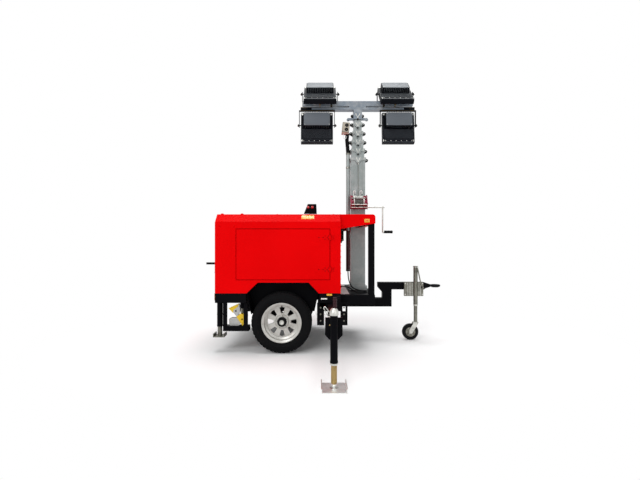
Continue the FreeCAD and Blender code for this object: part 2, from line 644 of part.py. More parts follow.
def louvred_panel(name, x_low, x_high, out):
    """An end panel with a ladder of louvres that stand out of its outer face."""
    panel = block(f"{name}_sheet", (x_low, x_high), ("-(canopy_half - wall)", "canopy_half - wall"),
                  ("canopy_floor", "canopy_eaves"))
    slots = []
    hoods = []
    face = x_high if out > 0 else x_low
    for index in range(LOUVRE_COUNT):
        foot = f"louvre_low + {index} * louvre_pitch"
        slots.append(block(f"{name}_slot_{index}", (f"{x_low} - 1", f"{x_high} + 1"),
                           ("-(louvre_half - 8)", "louvre_half - 8"),
                           (foot, f"{foot} + louvre_tall - 8")))
        hoods.append(prism(f"{name}_hood_{index}", "xz",
                           [(f"{face}", f"{foot} + louvre_tall"),
                            (f"{face} + {out} * louvre_deep", f"{foot} + 6"),
                            (f"{face} + {out} * louvre_deep", foot),
                            (f"{face} + {out} * (louvre_deep - 4)", foot),
                            (f"{face}", f"{foot} + louvre_tall - 8")],
                           "-louvre_half", "louvre_half"))
    return join(name, [pierce(f"{name}_open", panel, slots)] + hoods)


def make_canopy_ends():
    """The louvred rear and front panels."""
    keep(louvred_panel("rear_panel", "canopy_rear", "canopy_rear + wall", -1), "canopy_rear")
    keep(louvred_panel("front_panel", "canopy_front - wall", "canopy_front", 1), "canopy_front")


def make_roof():
    """Bevelled roof, hollow underneath, with closed ends."""
    outside = prism("roof_outside", "yz",
                    [("-canopy_half", "canopy_eaves"), ("canopy_half", "canopy_eaves"),
                     ("canopy_half - roof_inset", "canopy_top"),
                     ("-(canopy_half - roof_inset)", "canopy_top")], "canopy_rear", "canopy_front")
    inside = prism("roof_inside", "yz",
                   [("-(canopy_half - wall)", "canopy_eaves - 1"), ("canopy_half - wall", "canopy_eaves - 1"),
                    ("canopy_half - wall - roof_inset * 0.6", "canopy_top - wall"),
                    ("-(canopy_half - wall - roof_inset * 0.6)", "canopy_top - wall")],
                   "canopy_rear + wall", "canopy_front - wall")
    keep(pierce("roof_shell", outside, inside), "roof")


def make_roof_extension():
    """The hood over the mast foot, open round the mast and the cable tube."""
    half = "canopy_half - roof_inset"
    shell = prism("extension_outside", "xz",
                  [("canopy_front", "extension_low"), ("frame_front", "extension_nose"),
                   ("frame_front", "canopy_top - extension_round"),
                   ("frame_front - extension_round * 0.3", "canopy_top - extension_round * 0.3"),
                   ("frame_front - extension_round", "canopy_top"),
                   ("canopy_front", "canopy_top")], f"-({half})", half)
    hollow = block("extension_hollow", ("canopy_front - 1", "frame_front - nose_wall"),
                   (f"-({half} - wall)", f"{half} - wall"), ("extension_low - 1", "canopy_top - wall"))
    opening = block("extension_opening",
                    ("conduit_x - conduit_radius - mast_room", "mast_x + mast_width / 2 + mast_room"),
                   ("-(mast_width / 2 + mast_room)", "mast_width / 2 + mast_room"),
                    ("canopy_top - wall - 1", "canopy_top + 1"))
    keep(pierce("extension_shell", shell, [hollow, opening]), "roof_extension")


def make_engine():
    """Engine and generator, as one block of their real size and place."""
    keep(block("engine", ("engine_rear", "engine_rear + engine_long"), ("-engine_half", "engine_half"),
               ("canopy_floor", "canopy_floor + engine_tall")), "engine_block")


def make_axle():
    """Torsion axle: a cross tube under the rails, trailing arms and stub axles."""
    tube = block("axle_tube", ("axle_x + 110", "axle_x + 170"),
                 ("-(rail_middle + frame_tube)", "rail_middle + frame_tube"),
                 ("canopy_floor - sill_depth - frame_tube", "canopy_floor - sill_depth"))
    pieces = [tube]
    for side, sign in SIDES.items():
        low, high = mirrored_span(side, "rail_middle + frame_tube", "guard_inner - guard_sheet - 3")
        pieces.append(prism(f"arm_{side}", "xz",
                            [("axle_x - 28", "axle_height - 28"), ("axle_x + 22", "axle_height - 28"),
                             ("axle_x + 176", "canopy_floor - sill_depth - frame_tube"),
                             ("axle_x + 176", "canopy_floor - sill_depth - 4"),
                             ("axle_x + 104", "canopy_floor - sill_depth - 4"),
                             ("axle_x - 28", "axle_height + 28")], low, high))
        start = "rail_middle + frame_tube" if sign > 0 else "-(tyre_face - tyre_width / 2 + 42)"
        pieces.append(rod(f"stub_{side}", "y", ("axle_x", start, "axle_height"), "stub_radius",
                          "tyre_face - tyre_width / 2 + 42 - rail_middle - frame_tube"))
    keep(join("axle", pieces), "axle_beam")


def rim_section():
    """Half section of a steel wheel with its hub, radius by offset from the wheel's centre plane."""
    flange = "rim_width / 2"
    bore = "stub_radius + shaft_gap"
    return [(bore, "-60"), ("95", "-60"), ("95", "-14"), ("rim_well - rim_sheet", "-8"),
            ("rim_well - rim_sheet", "-32"), ("rim_seat - rim_sheet", "-42"),
            ("rim_seat - rim_sheet", f"-({flange} - 10)"), ("rim_radius - 7", f"-({flange})"),
            ("rim_radius", f"-({flange})"), ("rim_radius", f"-({flange} - 5)"),
            ("rim_seat", f"-({flange} - 12)"), ("rim_seat", "-40"), ("rim_well", "-30"),
            ("rim_well", "10"), ("rim_seat", "25"), ("rim_seat", f"{flange} - 12"),
            ("rim_radius", f"{flange} - 5"), ("rim_radius", flange), ("rim_radius - 7", flange),
            ("rim_seat - rim_sheet", f"{flange} - 10"), ("rim_seat - rim_sheet", "27"),
            ("rim_well - rim_sheet", "16"), ("rim_well - rim_sheet", "2"), ("hub_radius + 12", "2"),
            ("hub_radius", "12"), ("46", "12"), ("42", "38"), ("30", "52"), ("0", "52"), ("0", "46"),
            (bore, "46")]


def tyre_section():
    """Half section of a road tyre, radius by offset from the wheel's centre plane."""
    half = "tyre_width / 2"
    seat = "rim_seat + shaft_gap"
    return [(seat, "-64"), ("rim_radius + 1.5", "-67"), ("rim_radius + 10", f"-({half} - 9)"),
            ("rim_radius + 38", f"-({half})"), ("tyre_radius - 34", f"-({half} - 1)"),
            ("tyre_radius - 12", f"-({half} - 10)"), ("tyre_radius - 3", f"-({half} - 22)"),
            ("tyre_radius", f"-({half} - 36)"), ("tyre_radius", f"{half} - 36"),
            ("tyre_radius - 3", f"{half} - 22"), ("tyre_radius - 12", f"{half} - 10"),
            ("tyre_radius - 34", f"{half} - 1"), ("rim_radius + 38", half),
            ("rim_radius + 10", f"{half} - 9"), ("rim_radius + 1.5", "67"), (seat, "64")]


def make_wheels():
    """Tyres on steel wheels whose discs have a ring of windows."""
    for side, sign in SIDES.items():
        tyre = turned(f"tyre_{side}_body", tyre_section())
        rim = turned(f"rim_{side}_body", rim_section())
        window = outline(rim, f"window_{side}", "xz",
                         [("window_inner", "-12"), ("window_outer", "-27"),
                          ("window_outer + 6", "0"), ("window_outer", "27"), ("window_inner", "12")])
        pocket = rim.newObject("PartDesign::Pocket", f"window_cut_{side}")
        pocket.Profile = window
        pocket.Type = "ThroughAll"
        pocket.Midplane = True
        pattern = rim.newObject("PartDesign::PolarPattern", f"window_ring_{side}")
        pattern.Originals = [pocket]
        axis = next(item for item in rim.Origin.OriginFeatures if item.Role == "Y_Axis")
        pattern.Axis = (axis, [""])
        pattern.Angle = 360
        bind(pattern, "Occurrences", "window_count")
        rim.Tip = pattern
        facing = FreeCAD.Rotation(FreeCAD.Vector(0, 0, 1), 0 if sign > 0 else 180)
        for item, label in ((tyre, f"tyre_{side}"), (rim, f"rim_{side}")):
            item.Placement = FreeCAD.Placement(FreeCAD.Vector(0, 0, 0), facing)
            place(item, "axle_x", f"{sign} * (tyre_face - tyre_width / 2)", "axle_height")
            keep(item, label)


def section_width(index):
    """Across the flats of a mast tube; 0 is the base tube."""
    return f"(mast_width - {index} * mast_step)"


def section_foot(index):
    """Lower end of a mast tube, resting in the one outside it."""
    return f"(mast_foot + {index} * (mast_wall + shaft_gap))"


def collar_centre(index):
    """Height of a mast tube's collar with the mast down."""
    return f"(collar_height + {index} * collar_pitch)"


def centred(middle, size):
    """Low and high of something centred on a formula."""
    return (f"{middle} - ({size}) / 2", f"{middle} + ({size}) / 2")


def mast_tube(index):
    """One square tube: closed foot, guide pads, and a collar with pulley ears at its top."""
    name = f"tube_{index}"
    width = section_width(index)
    foot = section_foot(index)
    last = index == SECTION_COUNT
    top = "head_foot" if last else f"{collar_centre(index)} + collar_tall / 2"
    outside = block(f"{name}_outside", centred("mast_x", width), centred("0", width), (foot, top))
    bore = block(f"{name}_bore", centred("mast_x", f"{width} - 2 * mast_wall"),
                 centred("0", f"{width} - 2 * mast_wall"), (f"{foot} + mast_wall", f"{top} + 1"))
    pieces = [pierce(f"{name}_tube", outside, bore)]
    if index:
        # the gap between tubes, less the running gap, is what the pads fill
        gap = "(mast_step / 2 - mast_wall - shaft_gap)"
        tall = (foot, f"{foot} + pad_tall")
        over = f"{width} + 2 * {gap}"
        pads = [block(f"{name}_pad_x", centred("mast_x", over), centred("0", "pad_wide"), tall),
                block(f"{name}_pad_y", centred("mast_x", "pad_wide"), centred("0", over), tall)]
        shell = block(f"{name}_pad_bore", centred("mast_x", f"{width} - mast_wall"),
                      centred("0", f"{width} - mast_wall"), (f"{foot} - 1", f"{foot} + pad_tall + 1"))
        pieces += [pierce(f"{name}_pads", join(f"{name}_pad_cross", pads), shell)]
    if last:
        return pieces
    centre = collar_centre(index)
    tall = centred(centre, "collar_tall")
    ring = block(f"{name}_ring", centred("mast_x", f"{width} + 2 * collar_wall"),
                 centred("0", f"{width} + 2 * collar_wall"), tall)
    top = f"{centre} + collar_tall / 2"
    low = f"{centre} - collar_tall / 2"
    fork = "(pulley_thick / 2 + ear_sheet)"
    ears = []
    wheels = []
    for end in (-1, 1):
        face = f"mast_x + {end} * ({width} / 2 + collar_wall"
        ear = prism(f"{name}_ear_{end + 1}", "xz",
                    [(f"{face} - 1)", f"{centre} - ear_drop"), (f"{face} - 1)", top),
                     (f"{face} + ear_reach)", top), (f"{face} + ear_reach)", centre)],
                    f"-{fork}", fork)
        edges = (f"{face})", f"{face} + ear_reach + 1)")
        slot = block(f"{name}_ear_slot_{end + 1}", edges[::end], centred("0", "pulley_thick"),
                     (f"{centre} - ear_drop - 1", f"{top} + 1"))
        ears.append(pierce(f"{name}_fork_{end + 1}", ear, slot))
        wheels.append(rod(f"{name}_pulley_{end + 1}", "y",
                          (f"{face} + ear_reach - 4)", "-pulley_thick / 2", centre), "pulley_radius",
                          "pulley_thick"))
    anchor = prism(f"{name}_anchor", "xz",
                   [("mast_x - anchor_half", top), ("mast_x + anchor_half", top),
                    ("mast_x + anchor_half", low), ("mast_x + anchor_hole", f"{low} - anchor_drop"),
                    ("mast_x - anchor_hole", f"{low} - anchor_drop"), ("mast_x - anchor_half", low)],
                   f"-({width} / 2 + collar_wall + anchor_sheet)", f"-({width} / 2 + collar_wall)")
    anchor_hole = rod(f"{name}_anchor_hole", "y",
                      ("mast_x", f"-({width} / 2 + collar_wall + anchor_sheet + 1)",
                       f"{low} - anchor_drop + 4 * anchor_hole"), "anchor_hole", "anchor_sheet + 2")
    passage = block(f"{name}_passage", centred("mast_x", f"{section_width(index + 1)} + 2 * shaft_gap"),
                    centred("0", f"{section_width(index + 1)} + 2 * shaft_gap"),
                    (f"{top} - 10", f"{top} + 1"))
    inner = block(f"{name}_inner", centred("mast_x", f"{width} - 2 * mast_wall"),
                  centred("0", f"{width} - 2 * mast_wall"), (f"{centre} - collar_tall", f"{top} - 10"))
    lid = block(f"{name}_lid", centred("mast_x", width), centred("0", width), (f"{top} - 10", top))
    collar = join(f"{name}_collar", [ring, lid] + ears + wheels)
    return pieces + [pierce(f"{name}_collar_open", collar, [passage, inner]),
                     pierce(f"{name}_anchor_plate", anchor, anchor_hole)]


def make_mast():
    """The base tube with its foot, the sliding sections and the head with its two lamp bars."""
    flange = "mast_width + 2 * foot_flange"
    foot = block("mast_foot_block", centred("mast_x", flange), centred("0", flange),
                 ("tray_top", "mast_foot"))
    keep(join("mast_base_all", mast_tube(0) + [foot]), "mast_base")
    for index in range(1, SECTION_COUNT + 1):
        keep(join(f"section_{index}", mast_tube(index)), f"mast_section_{index}")
    head = [block("head_socket", centred("mast_x", "head_width"), centred("0", "head_width"),
                  ("head_foot", "lower_bar_foot")),
            block("head_arms", ("mast_x - head_arm", "mast_x + head_arm"), ("-12", "12"),
                  ("head_foot", "head_foot + 24")),
            block("lower_bar", ("mast_x - lower_bar_half", "mast_x + lower_bar_half"),
                  centred("0", "bar_width + 20"), ("lower_bar_foot", "lower_bar_foot + lower_bar_tall")),
            block("bar_link", centred("mast_x", "2 * head_width"), centred("0", "bar_width"),
                  ("lower_bar_foot + lower_bar_tall", "upper_bar_foot")),
            block("upper_bar", ("mast_x - upper_bar_half", "mast_x + upper_bar_half"),
                  centred("0", "bar_width"), ("upper_bar_foot", "upper_bar_top"))]
    for end in (-1, 1):
        head.append(rod(f"head_pulley_{end + 1}", "y",
                        (f"mast_x + {end} * (head_arm - 6)", "-pulley_thick / 2", "head_foot + 6"),
                        "pulley_radius", "pulley_thick"))
    keep(join("head", head), "mast_head")


def lamp_x(end, level):
    """Where a lamp hangs, along the trailer."""
    return f"(mast_x + {end} * {level}_lamp_offset)"


def make_yokes():
    """U-shaped straps: the upper pair stands on the bar, the lower pair hangs under it."""
    yokes = []
    for name, end, level in LAMPS:
        middle = lamp_x(end, level)
        if level == "upper":
            base = ("upper_bar_top", "upper_bar_top + yoke_sheet")
            arms = ("upper_bar_top", "upper_pivot + yoke_wide / 2")
        else:
            base = ("lower_bar_foot - yoke_sheet", "lower_bar_foot")
            arms = ("lower_pivot - yoke_wide / 2", "lower_bar_foot")
        span = centred("0", "yoke_wide")
        pieces = [block(f"yoke_base_{name}", centred(middle, "2 * yoke_half"), span, base)]
        for hand in (-1, 1):
            edge = f"{middle} + {hand} * (yoke_half - yoke_sheet / 2)"
            pieces.append(block(f"yoke_arm_{name}_{hand + 1}", centred(edge, "yoke_sheet"), span, arms))
        hole = rod(f"yoke_hole_{name}", "x", (f"{middle} - yoke_half - 1", "0", f"{level}_pivot"),
                   "pivot_radius + shaft_gap", "2 * yoke_half + 2")
        yokes.append(pierce(f"yoke_{name}", join(f"yoke_strap_{name}", pieces), hole))
    keep(join("yokes", yokes), "lamp_yokes")


def make_lamps():
    """Floodlights: a bevelled body, a driver box on its back and pivot bolts with knobs."""
    for name, end, level in LAMPS:
        half = "lamp_width / 2"
        body = prism(f"lamp_body_{name}", "yz",
                     [("-lamp_depth / 2", "-lamp_below + 14"), ("-lamp_depth / 2 + 14", "-lamp_below"),
                      ("lamp_depth / 2", "-lamp_below"), ("lamp_depth / 2", "lamp_above"),
                      ("-lamp_depth / 2 + 14", "lamp_above"), ("-lamp_depth / 2", "lamp_above - 14")],
                     f"-{half}", half)
        driver = prism(f"driver_{name}", "yz",
                       [("-lamp_depth / 2 - driver_depth", "-driver_below + 12"),
                        ("-lamp_depth / 2", "-driver_below"), ("-lamp_depth / 2", "driver_above"),
                        ("-lamp_depth / 2 - driver_depth", "driver_above - 12")],
                       "-driver_width / 2", "driver_width / 2")
        bolt = rod(f"pivot_{name}", "x", ("-(yoke_half + 2)", "0", "0"), "pivot_radius", "2 * (yoke_half + 2)")
        glass = block(f"lamp_recess_{name}", (f"-({half} - lamp_rim)", f"{half} - lamp_rim"),
                      ("lamp_depth / 2 - lens_deep", "lamp_depth / 2 + 1"),
                      ("-(lamp_below - lamp_rim)", "lamp_above - lamp_rim"))
        pieces = [pierce(f"lamp_shell_{name}", body, glass), driver, bolt]
        for hand in (-1, 1):
            start = "yoke_half + 1" if hand > 0 else "-(yoke_half + 1 + knob_thick)"
            pieces.append(rod(f"knob_{name}_{hand + 1}", "x", (start, "0", "0"), "knob_radius", "knob_thick"))
        lamp = join(f"lamp_{name}_all", pieces)
        lamp.Placement = FreeCAD.Placement(FreeCAD.Vector(0, 0, 0),
                                           FreeCAD.Rotation(FreeCAD.Vector(1, 0, 0), -10))
        bind(lamp, "Placement.Rotation.Angle", f"-{level}_tilt")
        place(lamp, lamp_x(end, level), "0", f"{level}_pivot")
        keep(lamp, f"lamp_{name}")


def make_winch():
    """The mast winch: two cheek plates on a back plate, a flanged drum, and the crank."""
    back = "-(mast_width / 2)"
    front = "-(mast_width / 2 + winch_deep)"
    drum_z = "winch_z + drum_lift"
    shaft_z = "winch_z - shaft_drop"
    pieces = [block("winch_back", centred("mast_x", "2 * winch_half"), (f"{back} - winch_plate", back),
                    ("winch_low", "winch_top"))]
    for hand in (-1, 1):
        edge = f"mast_x + {hand} * (winch_half - winch_plate / 2)"
        pieces.append(prism(f"cheek_{hand + 1}", "yz",
                            [(back, "winch_low"), (f"{front} + 30", "winch_low"),
                             (front, "winch_low + 30"), (front, "winch_z + 34"),
                             (f"{front} + 50", "winch_top"), (back, "winch_top")],
                            f"{edge} - winch_plate / 2", f"{edge} + winch_plate / 2"))
        pieces.append(rod(f"drum_flange_{hand + 1}", "x",
                          (f"mast_x + {hand} * drum_half - winch_plate / 2", "-winch_y", drum_z),
                          "drum_flange", "winch_plate"))
    pieces.append(rod("drum", "x", ("mast_x - winch_half + 1", "-winch_y", drum_z), "drum_radius",
                      "2 * winch_half - 2"))
    hole = rod("winch_bore", "x", ("mast_x + winch_half - winch_plate - 1", "-winch_y", shaft_z),
               "crank_bar + shaft_gap", "winch_plate + 2")
    keep(pierce("winch_all", join("winch_frame_all", pieces), hole), "winch")
    inner = "mast_x + winch_half - winch_plate - 6"
    elbow = "mast_x + crank_reach"
    crank = [rod("crank_shaft", "x", (inner, "-winch_y", shaft_z), "crank_bar",
                 "crank_reach - winch_half + winch_plate + 6 + crank_bar"),
             rod("crank_arm", "z", (elbow, "-winch_y", f"{shaft_z} - crank_drop - crank_bar"),
                 "crank_bar", "crank_drop + 2 * crank_bar"),
             rod("crank_grip", "x", (elbow, "-winch_y", f"{shaft_z} - crank_drop"), "grip_radius",
                 "grip_length")]
    keep(join("crank", crank), "winch_crank")


def beam_centre(side):
    """The two outrigger beams lie side by side so that each can slide right across."""
    return "beam_x" if side == "right" else "(beam_x - beam_spacing)"


def make_outrigger_housings():
    """The guides that the outriggers slide in, and the upright end plates that hold them."""
    outside = "(beam_size + 2 * (shaft_gap + housing_wall))"
    tubes = []
    bores = []
    for side in SIDES:
        middle = beam_centre(side)
        tubes.append(block(f"housing_{side}", centred(middle, outside), ("-housing_half", "housing_half"),
                           (f"sill_bottom - {outside}", "sill_bottom")))
        bores.append(block(f"housing_bore_{side}", centred(middle, "beam_size + 2 * shaft_gap"),
                           ("-(housing_half + 1)", "housing_half + 1"),
                           centred("beam_middle", "beam_size + 2 * shaft_gap")))
    plate_x = "(beam_x + portal_shift)"
    foot = "sill_bottom - portal_drop"
    for side in SIDES:
        low, high = mirrored_span(side, "housing_half - portal_sheet", "housing_half")
        plate = prism(f"portal_{side}", "xz",
                      [(f"{plate_x} - portal_half", foot), (f"{plate_x} - portal_half", "sill_bottom"),
                       (f"{plate_x} + portal_half", "sill_bottom"), (f"{plate_x} + portal_half", foot),
                       (f"{plate_x} + portal_half - portal_leg", foot),
                       (f"{plate_x} + portal_half - portal_leg", f"sill_bottom - {outside} - 14"),
                       (f"{plate_x} - portal_half + portal_leg", f"sill_bottom - {outside} - 14"),
                       (f"{plate_x} - portal_half + portal_leg", foot)], low, high)
        tubes.append(plate)
        window_x = f"{plate_x} + portal_half - portal_leg / 2"
        bores.append(block(f"portal_window_{side}", centred(window_x, "portal_leg - 40"),
                           (f"{low} - 1", f"{high} + 1"), ("sill_bottom - 84", "sill_bottom - 9")))
    keep(pierce("housings_open", join("housings", tubes), bores), "outrigger_housings")


def make_outriggers():
    """Sliding beams with jack tubes and folded handles, and the screw legs with their feet."""
    for side, sign in SIDES.items():
        leg_x = beam_centre(side)
        leg_y = f"{sign} * leg_y"
        beam = block(f"beam_{side}", centred(leg_x, "beam_size"),
                     mirrored_span(side, "housing_half - beam_overlap", "beam_end"),
                     centred("beam_middle", "beam_size"))
        low, high = mirrored_span(side, "beam_end - 10", "leg_y - leg_radius + 6")
        gusset = prism(f"gusset_{side}", "xz",
                       [(f"{leg_x} - gusset_half + 30", "gusset_bottom"),
                        (f"{leg_x} + gusset_half - 30", "gusset_bottom"),
                        (f"{leg_x} + gusset_half", "gusset_bottom + 34"),
                        (f"{leg_x} + gusset_half", "gusset_top"),
                        (f"{leg_x} - gusset_half", "gusset_top"),
                        (f"{leg_x} - gusset_half", "gusset_bottom + 34")], low, high)
        leg = rod(f"leg_{side}", "z", (leg_x, leg_y, "leg_bottom"), "leg_radius", "leg_top - leg_bottom")
        handle = block(f"handle_{side}", (f"{leg_x} - 7", f"{leg_x} - 7 + handle_wide"),
                       centred(leg_y, "handle_sheet"), ("leg_top - 1", "leg_top + handle_tall"))
        grip = rod(f"handle_grip_{side}", "x",
                   (f"{leg_x} - 8 + handle_wide", leg_y, "leg_top + handle_tall - handle_bar"),
                   "handle_bar", "handle_grip + 1")
        bore = rod(f"leg_bore_{side}", "z", (leg_x, leg_y, "leg_bottom - 1"), "leg_radius - leg_wall",
                   "leg_top - leg_bottom - leg_wall + 1")
        arm = join(f"outrigger_{side}_solid", [beam, gusset, leg, handle, grip])
        keep(pierce(f"outrigger_{side}_all", arm, bore), f"outrigger_{side}")
        make_screw_foot(side, leg_x, leg_y)


def make_screw_foot(side, x, y):
    """The screw of an outrigger jack, tapered at its lower end, on its foot plate."""
    radius = "leg_radius - leg_wall - shaft_gap"
    point = doc.addObject("Part::Cone", f"screw_point_{side}")
    bind(point, "Radius1", "screw_point")
    bind(point, "Radius2", radius)
    bind(point, "Height", "point_tall")
    place(point, x, y, "foot_thick / 2")
    shoulder = "foot_thick / 2 + point_tall"
    screw = rod(f"screw_{side}", "z", (x, y, shoulder), radius, f"leg_bottom + screw_overlap - ({shoulder})")
    foot = foot_plate(f"foot_{side}", x, y, "0", "foot_long", "foot_wide")
    keep(join(f"jack_{side}_all", [point, screw] + foot), f"outrigger_foot_{side}")


def foot_plate(name, x, y, z, long, wide):
    """A pressed foot plate with turned-up ends."""
    pieces = [block(f"{name}_plate", centred(x, long), centred(y, wide), (z, f"{z} + foot_thick"))]
    for end in (-1, 1):
        edge = f"{x} + {end} * ({long} - foot_thick) / 2"
        pieces.append(block(f"{name}_lip_{end + 1}", centred(edge, "foot_thick"), centred(y, wide),
                            (z, f"{z} + foot_lip")))
    return pieces


def make_rear_jacks():
    """Rear corner jacks, wound up, and the cranks that stick out of the rear panel."""
    tubes = []
    cranks = []
    for side, sign in SIDES.items():
        y = f"{sign} * rear_jack_y"
        tube = rod(f"rear_tube_{side}", "z", ("rear_jack_x", y, "rear_jack_bottom"), "leg_radius",
                   "sill_bottom - rear_jack_bottom")
        bore = rod(f"rear_bore_{side}", "z", ("rear_jack_x", y, "rear_jack_bottom - 1"),
                   "leg_radius - leg_wall", "sill_bottom - rear_jack_bottom - leg_wall + 1")
        tubes.append(pierce(f"rear_jack_{side}_tube", tube, bore))
        screw = rod(f"rear_screw_{side}", "z", ("rear_jack_x", y, "rear_foot_height + foot_thick / 2"),
                    "leg_radius - leg_wall - shaft_gap",
                    "rear_jack_bottom + rear_screw_inside - rear_foot_height - foot_thick / 2")
        foot = foot_plate(f"rear_foot_{side}", "rear_jack_x", y, "rear_foot_height", "rear_foot_size",
                          "rear_foot_size")
        keep(join(f"rear_jack_{side}_all", [screw] + foot), f"rear_foot_{side}")
        crank_y = f"{sign} * (rear_jack_y - rear_crank_in)"
        arm_x = "canopy_rear - rear_crank_shaft"
        arm_foot = "rear_crank_z - rear_crank_throw"
        cranks += [rod(f"rear_crank_shaft_{side}", "x", (f"{arm_x} - crank_bar", crank_y, arm_foot),
                       "crank_bar", "rear_crank_shaft + crank_bar"),
                   rod(f"rear_crank_arm_{side}", "z", (arm_x, crank_y, f"{arm_foot} - crank_bar"),
                       "crank_bar", "rear_crank_throw + 2 * crank_bar"),
                   rod(f"rear_crank_grip_{side}", "x", ("rear_crank_end", crank_y, "rear_crank_z"),
                       "rear_grip_radius", f"{arm_x} - rear_crank_end")]
    keep(join("rear_tubes", tubes), "rear_jack_tubes")
    keep(join("rear_crank_pair", cranks), "rear_cranks")


def make_chock_carriers():
    """Low bars behind the wheels, hung from the sills, with the yellow wheel chocks on them."""
    carriers = []
    chocks = []
    seat = "(carrier_low + carrier_tall)"
    outer = "canopy_half - carrier_inset"
    for side in SIDES:
        bar_y = mirrored_span(side, f"{outer} - carrier_wide", outer)
        hanger_y = mirrored_span(side, f"{outer} - 20", outer)
        bar = square_tube(f"carrier_bar_{side}", ("carrier_rear", "carrier_front"), bar_y,
                          ("carrier_low", seat), "carrier_wall", "x")
        hangers = [block(f"hanger_{side}_{index}", (start, f"{start} + hanger_wide"), hanger_y,
                         (seat, "sill_bottom"))
                   for index, start in enumerate(("carrier_rear", "carrier_front - hanger_wide - 10"))]
        carriers.append(join(f"carrier_{side}", [bar] + hangers))
        low, high = mirrored_span(side, f"{outer} - carrier_wide + 2", f"{outer} - 24")
        chocks.append(prism(f"chock_{side}", "xz",
                            [("carrier_front - 66", seat), ("carrier_front - 20", f"{seat} + 97"),
                             ("carrier_front - 96", f"{seat} + 120"), ("carrier_front - 90", f"{seat} + 215"),
                             ("carrier_front - 200", f"{seat} + 168"), ("carrier_front - 142", f"{seat} + 84")],
                            low, high))
    keep(join("carriers", carriers), "chock_carriers")
    keep(join("chocks", chocks), "wheel_chocks")


def eye_section():
    """Half section of the towing eye: a round bar with its inner side flattened by the bore."""
    middle = "(eye_radius - eye_bar)"
    points = []
    for turn in range(-108, 109, 36):
        angle = math.radians(turn)
        points.append((f"{middle} + {math.cos(angle):.4f} * eye_bar", f"{math.sin(angle):.4f} * eye_bar"))
    return [("eye_bore", "-0.72 * eye_bar")] + points + [("eye_bore", "0.72 * eye_bar")]


def make_drawbar():
    """The stepped drawbar, its coupling nose and the towing eye."""
    upper_low = "drawbar_top - drawbar_tall"
    keep(prism("drawbar_body", "xz",
               [("drawbar_rear", "drawbar_low"), ("drawbar_drop", "drawbar_low"),
                ("drawbar_drop", upper_low), ("drawbar_end", upper_low), ("drawbar_end", "drawbar_top"),
                ("drawbar_step", "drawbar_top"), ("drawbar_step", "drawbar_top - 56"),
                ("drawbar_step + 51", "frame_bottom + 65"), ("drawbar_step + 51", "frame_bottom"),
                ("drawbar_rear", "frame_bottom")], "-drawbar_half", "drawbar_half"), "drawbar")
    ring = turned("eye_ring", eye_section())
    ring.Placement = FreeCAD.Placement(FreeCAD.Vector(0, 0, 0),
                                       FreeCAD.Rotation(FreeCAD.Vector(1, 0, 0), 90))
    place(ring, "eye_front - eye_radius", "0", "eye_height")
    bore = rod("eye_hole", "z", ("eye_front - eye_radius", "0", "eye_height - eye_bar"), "eye_bore",
               "2 * eye_bar")
    nose = doc.addObject("Part::Cone", "eye_nose")
    nose.Placement = FreeCAD.Placement(FreeCAD.Vector(0, 0, 0), TURNS["x"])
    bind(nose, "Radius1", "drawbar_tall / 2")
    bind(nose, "Radius2", "eye_bar")
    bind(nose, "Height", "eye_front - 2 * eye_radius + eye_bar - drawbar_end")
    place(nose, "drawbar_end", "0", "eye_height")
    keep(pierce("eye", join("eye_solid", [ring, nose]), bore), "towing_eye")


def make_jockey():
    """The jockey wheel: clamp, outer tube with its crank, sliding leg, castering fork and wheel."""
    plate_face = "-(drawbar_half + clamp_plate)"
    blocks = [block("clamp_plate_block", ("clamp_rear", "clamp_front"), (plate_face, "-drawbar_half"),
                    ("clamp_low", "clamp_top"))]
    spans = {"rear": ("clamp_rear", "jockey_x - jockey_tube + 4"),
             "front": ("jockey_x + jockey_tube - 4", "clamp_front")}
    for name, span in spans.items():
        blocks.append(block(f"clamp_{name}_block", span, (f"{plate_face} - clamp_block", plate_face),
                            ("clamp_low", "clamp_top - 16")))
    seat = rod("clamp_seat", "z", ("jockey_x", "jockey_y", "clamp_low - 1"), "jockey_tube",
               "clamp_top - clamp_low + 2")
    keep(pierce("clamp_open", join("clamp_blocks", blocks), seat), "jockey_clamp")
    tube = rod("jockey_tube_solid", "z", ("jockey_x", "jockey_y", "jockey_bottom"), "jockey_tube",
               "jockey_top - jockey_bottom")
    cap = rod("jockey_cap_disc", "z", ("jockey_x", "jockey_y", "jockey_top - jockey_cap"),
              "jockey_tube + 3", "jockey_cap")
    bore = rod("jockey_bore", "z", ("jockey_x", "jockey_y", "jockey_bottom - 1"),
               "jockey_tube - jockey_wall", "jockey_top - jockey_bottom - 10")
    pieces = [tube, cap] + jockey_crank()
    keep(pierce("jockey_outer", join("jockey_tube_all", pieces), bore), "jockey_tube")
    inner = "jockey_tube - jockey_wall - shaft_gap"
    keep(rod("jockey_inner", "z", ("jockey_x", "jockey_y", "jockey_fork_top"), inner,
             "jockey_bottom - jockey_fork_top + jockey_inside"), "jockey_leg")
    make_jockey_wheel()


